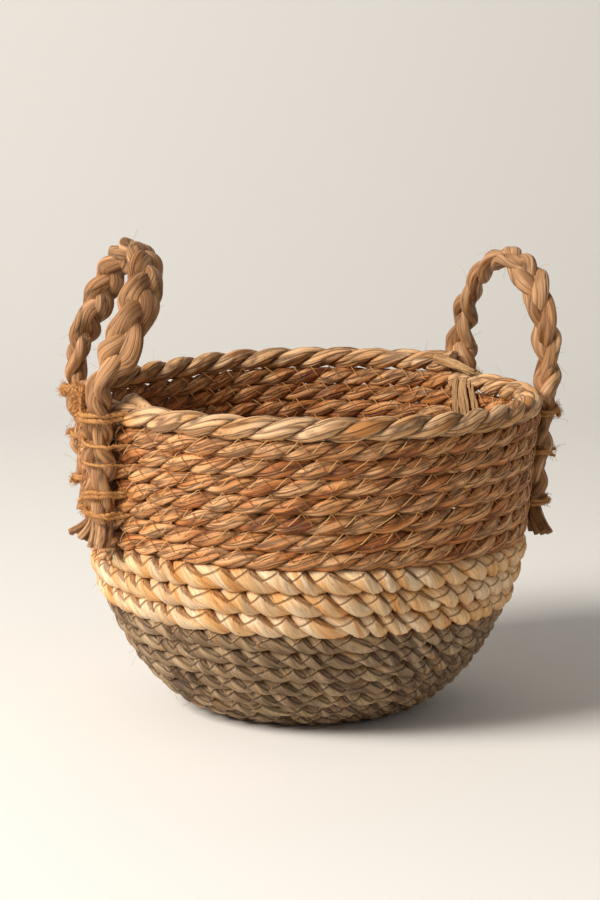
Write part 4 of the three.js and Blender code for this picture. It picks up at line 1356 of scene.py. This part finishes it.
def tie_lines(leg, height, count, rng):
    """A tie's turns round the outside of a leg, and its knot or its tuft of loose ends."""
    slant = leg.get("slants", USUAL_SLANTS)[count]
    gauge = leg["gauge"][count]
    lines = [twine_line(in_leg_frame(leg, height, tie_turn(turn, slant, gauge, rng)), gauge)
             for turn in (-1, 1)[:leg.get("turns", USUAL_TURNS)[count]]]
    tuft = count == 0 and "tuft" in leg
    spread = np.array(TUFT_SPREAD) if tuft else KNOT_SPREAD * leg["knot"][count] * np.array([0.7, 1, 1])
    middle = np.array([1.2, -TUFT_PLACE, TUFT_RISE] if tuft else [*leg["knot_at"], -slant])
    for strand in range(TUFT_STRANDS if tuft else 1):
        knot = tangle(middle, spread, rng)
        lines.append(twine_line(in_leg_frame(leg, height, knot), TUFT_GAUGE if tuft else KNOT_GAUGE))
    return lines


TWINE = {"Lay": 0.008, "Sides": 10, "Step": 0.0007, "Fullness": 1.0, "Lobe Offset": 0.26, "Lump": 0.6,
         "Lump Length": 0.003, "Crease": 0.0}
TWINE_HAIRS = {"Density": 320000.0, "Length": 0.004, "Thickness": 0.00012, "Lean": 1.2}
for side, handle in HANDLES.items():
    for leg in handle["legs"]:
        rim_height = rim_at(leg["azimuth"])[1]
        for count, depth in enumerate(leg["ties"]):
            name = f"{side}_{leg['name']}_tie_{count + 1}"
            guide = make_guide(name, tie_lines(leg, rim_height - depth, count, random.Random(name)))
            tie = grow(name + "_twine", rope_tree, guide, Seed=float(count), Material=jute_twine, **TWINE)
            tie = add_hairs(tie, jute_twine, Seed=count, **TWINE_HAIRS)
            fix_to_basket(tie, name)

# %% [markdown]
# ## Leaf strips: tassels and splice
#
# A leaf strip is thin, slightly curved across and uneven along. The tree sweeps a thin bent
# section along each guide line and narrows it by the guide's values. Below its lowest tie a
# plait falls apart into its leaves, which fan out and end in clean cuts. At the right rear leg
# the rim rope's tail is opened into flat leaves, and they are sewn down the inside.

# %% Tree: leaf strips
def make_strip_tree():
    """A thin, bowed leaf strip along every line of a guide."""
    add, given = start_tree("leaf_strips", {
        "Thickness": 0.16, "Bow": 0.25, "Sides": 14, "Step": 0.0012, "Lump": 0.1, "Lump Length": 0.008,
        "Crease": 0.0, "Creases": 3.0, "Seed": 0.0, "Material": None})
    half = add("GeometryNodeInputNamedAttribute", {"Name": "half"}, data_type="FLOAT")
    out = add("GeometryNodeInputNamedAttribute", {"Name": "out"}, data_type="FLOAT_VECTOR")
    even = space_evenly(add, given)
    framed = add("GeometryNodeSetCurveNormal", {"Curve": even, "Normal": out}, mode="FREE")
    marked, parts = plain_section(add, given)
    thin = add("ShaderNodeMath", [parts.outputs[1], given["Thickness"]], operation="MULTIPLY")
    square = add("ShaderNodeMath", [parts, parts], operation="MULTIPLY")
    bent = add("ShaderNodeMath", [square, given["Bow"]], operation="MULTIPLY")
    depth = add("ShaderNodeMath", [thin, bent], operation="SUBTRACT")
    back = add("ShaderNodeMath", [parts, -1.0], operation="MULTIPLY")
    shape = add("ShaderNodeCombineXYZ", [depth, back])
    profile = add("GeometryNodeSetPosition", {"Geometry": marked, "Position": shape})
    swept = add("GeometryNodeCurveToMesh", {
        "Curve": framed, "Profile Curve": profile, "Scale": half, "Fill Caps": True})
    return finish_leaf(add, given, swept)


strip_tree = make_strip_tree()

# %% Tassels
TASSEL_LENGTH = 19.0
TASSEL_START = 5.0
TASSEL_STRANDS = 6
STRIPS_PER_STRAND = 2
TASSEL_HALF_WIDTH = 8.2
TASSEL_DEPTH = 4.2
TASSEL_LEAF_HALF = (2.3, 2.5, 2.7)
FAR_SPREAD, NEAR_SPREAD = 1.5, 0.25
FAR_LIFT, NEAR_LIFT = 14, 6


def strip_line(places, out, half, start_along):
    """A leaf strip's guide: places in metres, the direction it faces and half of its width."""
    even = smooth_line(places, 0.001)
    share = np.linspace(0, 1, len(even))
    widths = np.interp(share, [0, 0.5, 1], half) * MM
    return {"places": even, "along": lengths_along(even) + start_along, "half": widths,
            "out": np.repeat(np.array([out]), len(even), 0)}


def tassel_lines(leg, rng):
    """The leaves of a plait's cut end, in strands that spread to the side away from the handle."""
    foot = foot_of(leg)
    angle = float(leg_angle(leg, foot))
    out, along_wall = round_basket(1, angle, 0), round_basket(1, angle + math.pi / 2, 0)
    lines = []
    for strand in range(TASSEL_STRANDS):
        place = strand / (TASSEL_STRANDS - 1) * 2 - 1
        spread = leg["flare"] * (FAR_SPREAD if place < 0 else NEAR_SPREAD)
        reach = TASSEL_LENGTH * rng.uniform(0.85, 1.05)
        for strip in range(STRIPS_PER_STRAND):
            sideways = place * TASSEL_HALF_WIDTH + rng.uniform(-0.8, 0.8)
            outwards = (strip - 0.5) * TASSEL_DEPTH + rng.uniform(-0.6, 0.6)
            swing = min(1.1, abs(place) * spread)
            bend = math.copysign(math.sin(swing) * reach, place)
            lift = (FAR_LIFT if place < 0 else NEAR_LIFT) * leg["flare"] * abs(place) + 1.0
            down = reach * math.cos(swing) + rng.uniform(-1, 1)
            points = [(outwards, sideways * 0.8, TASSEL_START), (outwards, sideways * 0.9, 0),
                      (outwards + lift * 0.3, sideways + bend * 0.35, -down * 0.5),
                      (outwards + lift, sideways + bend, -down)]
            facing = out * rng.uniform(0.5, 1) + along_wall * (0.5 * abs(place) + rng.uniform(-0.4, 0.4))
            facing /= np.linalg.norm(facing)
            half = np.array(TASSEL_LEAF_HALF) * rng.uniform(0.85, 1.15)
            lines.append(strip_line(in_leg_frame(leg, foot, points), facing, half, 0.7 * len(lines)))
    return lines


for side, handle in HANDLES.items():
    for leg in handle["legs"]:
        name = f"{side}_{leg['name']}_tassel"
        guide = make_guide(name, tassel_lines(leg, random.Random(name)))
        tassel = grow(name + "_leaves", strip_tree, guide, Thickness=0.75, Bow=0.15, Lump=0.25, Crease=0.22,
                      **{"Lump Length": 0.01}, Creases=2.0, Material=plait_leaf)
        fix_to_basket(tassel, name)

# %% The spliced tail of the rim rope
SPLICE_LEAVES = (
    {"from": (42.4, 9.5), "to": (39.5, 43.0), "width": 4.0},
    {"from": (39.4, 9.0), "to": (34.5, 44.0), "width": 6.5},
    {"from": (36.3, 9.5), "to": (29.0, 38.0), "width": 4.5},
    {"from": (50.0, -2.0), "to": (33.0, 5.0), "width": 6.0},
)
LEAF_CLEARANCE = 1.2
LEAF_LAP = 0.9
LEAF_TUCK = 3.0
SPLICE_STRIPS = 3
STRIP_HALVES_IN_LEAF = 3.9
MM_PER_DEGREE = 2.3
MM_PER_STEP_DOWN = 2.4


def splice_lines(leaf, rng):
    """Narrow leaves side by side, laid from the rim rope's end down the inside of the wall."""
    (start, start_depth), (end, end_depth) = leaf["from"], leaf["to"]
    steep = start_depth > 0
    lines = []
    for strip in range(SPLICE_STRIPS):
        place = strip - (SPLICE_STRIPS - 1) / 2
        beside = (place + rng.uniform(-0.25, 0.25)) * leaf["width"] / SPLICE_STRIPS / MM_PER_DEGREE
        lower = 0 if steep else beside * MM_PER_STEP_DOWN
        reach = rng.uniform(0.86, 1.0)
        points = []
        for share in np.linspace(0, reach, 7):
            degrees = start + (end - start) * share + (beside * (1 + share) if steep else 0)
            height = END_HEIGHT - (start_depth + (end_depth - start_depth) * share + lower)
            half = float(half_at(np.array([rim_turn(degrees)]))[0])
            tucked = LEAF_TUCK * max(0.0, 1 - share * 5) if steep else 0.0
            radius = wall_radius(height) - half * HEXAGON_CORNER - LEAF_CLEARANCE
            radius += tucked - LEAF_LAP * (strip % 2) + rng.uniform(-0.4, 0.4)
            angle = math.radians(degrees)
            points.append(round_basket(radius, angle, height) * MM)
            facing = round_basket(-1, angle, 0.2 + rng.uniform(-0.25, 0.25))
        half = leaf["width"] / STRIP_HALVES_IN_LEAF * np.array([0.9, 1.1, 0.4]) * rng.uniform(0.8, 1.2)
        lines.append(strip_line(points, facing / np.linalg.norm(facing), half, 3.1 * len(lines)))
    return lines


for count, leaf in enumerate(SPLICE_LEAVES):
    name = f"splice_leaf_{count + 1}"
    guide = make_guide(name, splice_lines(leaf, random.Random(name)))
    strips = grow(name + "_strips", strip_tree, guide, Thickness=0.3, Bow=0.3, Seed=float(count),
                  Material=pale_leaf)
    fix_to_basket(strips, name)

# %% A leaf's end that curls over the rim
CURL_LINE = (
    (230.0, 0.0, 3.5, 3.0), (226.5, -0.5, 6.0, 4.6), (223.0, -1.0, 8.0, 5.6), (219.5, -2.0, 9.5, 5.8),
    (216.5, -4.5, 9.0, 4.0))
CURL_FACING = (250.0, 0.75)


def curl_line():
    """The leaf's guide: azimuth, distance outwards, height above the rim's centre and half width."""
    points = []
    for azimuth, outwards, rise, _ in CURL_LINE:
        radius, height = rim_at(azimuth)
        points.append(round_basket(radius + outwards, math.radians(azimuth), height + rise))
    azimuth, steepness = CURL_FACING
    facing = round_basket(1, math.radians(azimuth), steepness)
    line = strip_line(np.array(points) * MM, facing / np.linalg.norm(facing), (0, 0, 0), 0.2)
    share = np.linspace(0, 1, len(line["places"]))
    line["half"] = np.interp(share, np.linspace(0, 1, len(CURL_LINE)), [row[3] for row in CURL_LINE]) * MM
    return line


curl = grow("rim_leaf_end", strip_tree, make_guide("rim_leaf_end", [curl_line()]), Thickness=0.14, Bow=0.35,
            Lump=0.12, Crease=0.05, Seed=3.0, Material=pale_leaf)
fix_to_basket(curl)

# %% [markdown]
# ## Loose fibres
#
# A hand-made basket of leaf is never clean: fine fibres have split off and stand out everywhere.
# The same tree that makes the twine hairy grows them, sparse and long, on the ropes and plaits.

# %% Loose fibres on ropes and plaits
FIBRES = {"Length": 0.011, "Thickness": 0.00011, "Lean": 1.35, "Keep": False}
# Single fibres split off a leaf: pale, with a faint sheen, so they show against the dark rope
loose_fibre = plain_fibre("leaf_fibre_split_off", "#c79a66", 0.6)


def loose_fibres(piece, seed, density):
    """Sparse hairs that stand on a piece, as a piece of their own."""
    return grow(piece.name + "_fibres", hair_tree, piece.data.copy(), Material=loose_fibre,
                Density=density, Seed=seed, **FIBRES)


ON_ROPES = (("brown_coil", 1500.0), ("rim_rope", 1500.0), ("cream_coil", 700.0), ("grey_coil", 700.0))
for seed, (name, density) in enumerate(ON_ROPES, start=3):
    fix_to_basket(loose_fibres(bpy.data.objects[name + "_twisted"], seed, density))
for side in HANDLES:
    hairs = loose_fibres(bpy.data.objects[side + "_handle_plait"], 7, 1800.0)
    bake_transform(hairs)
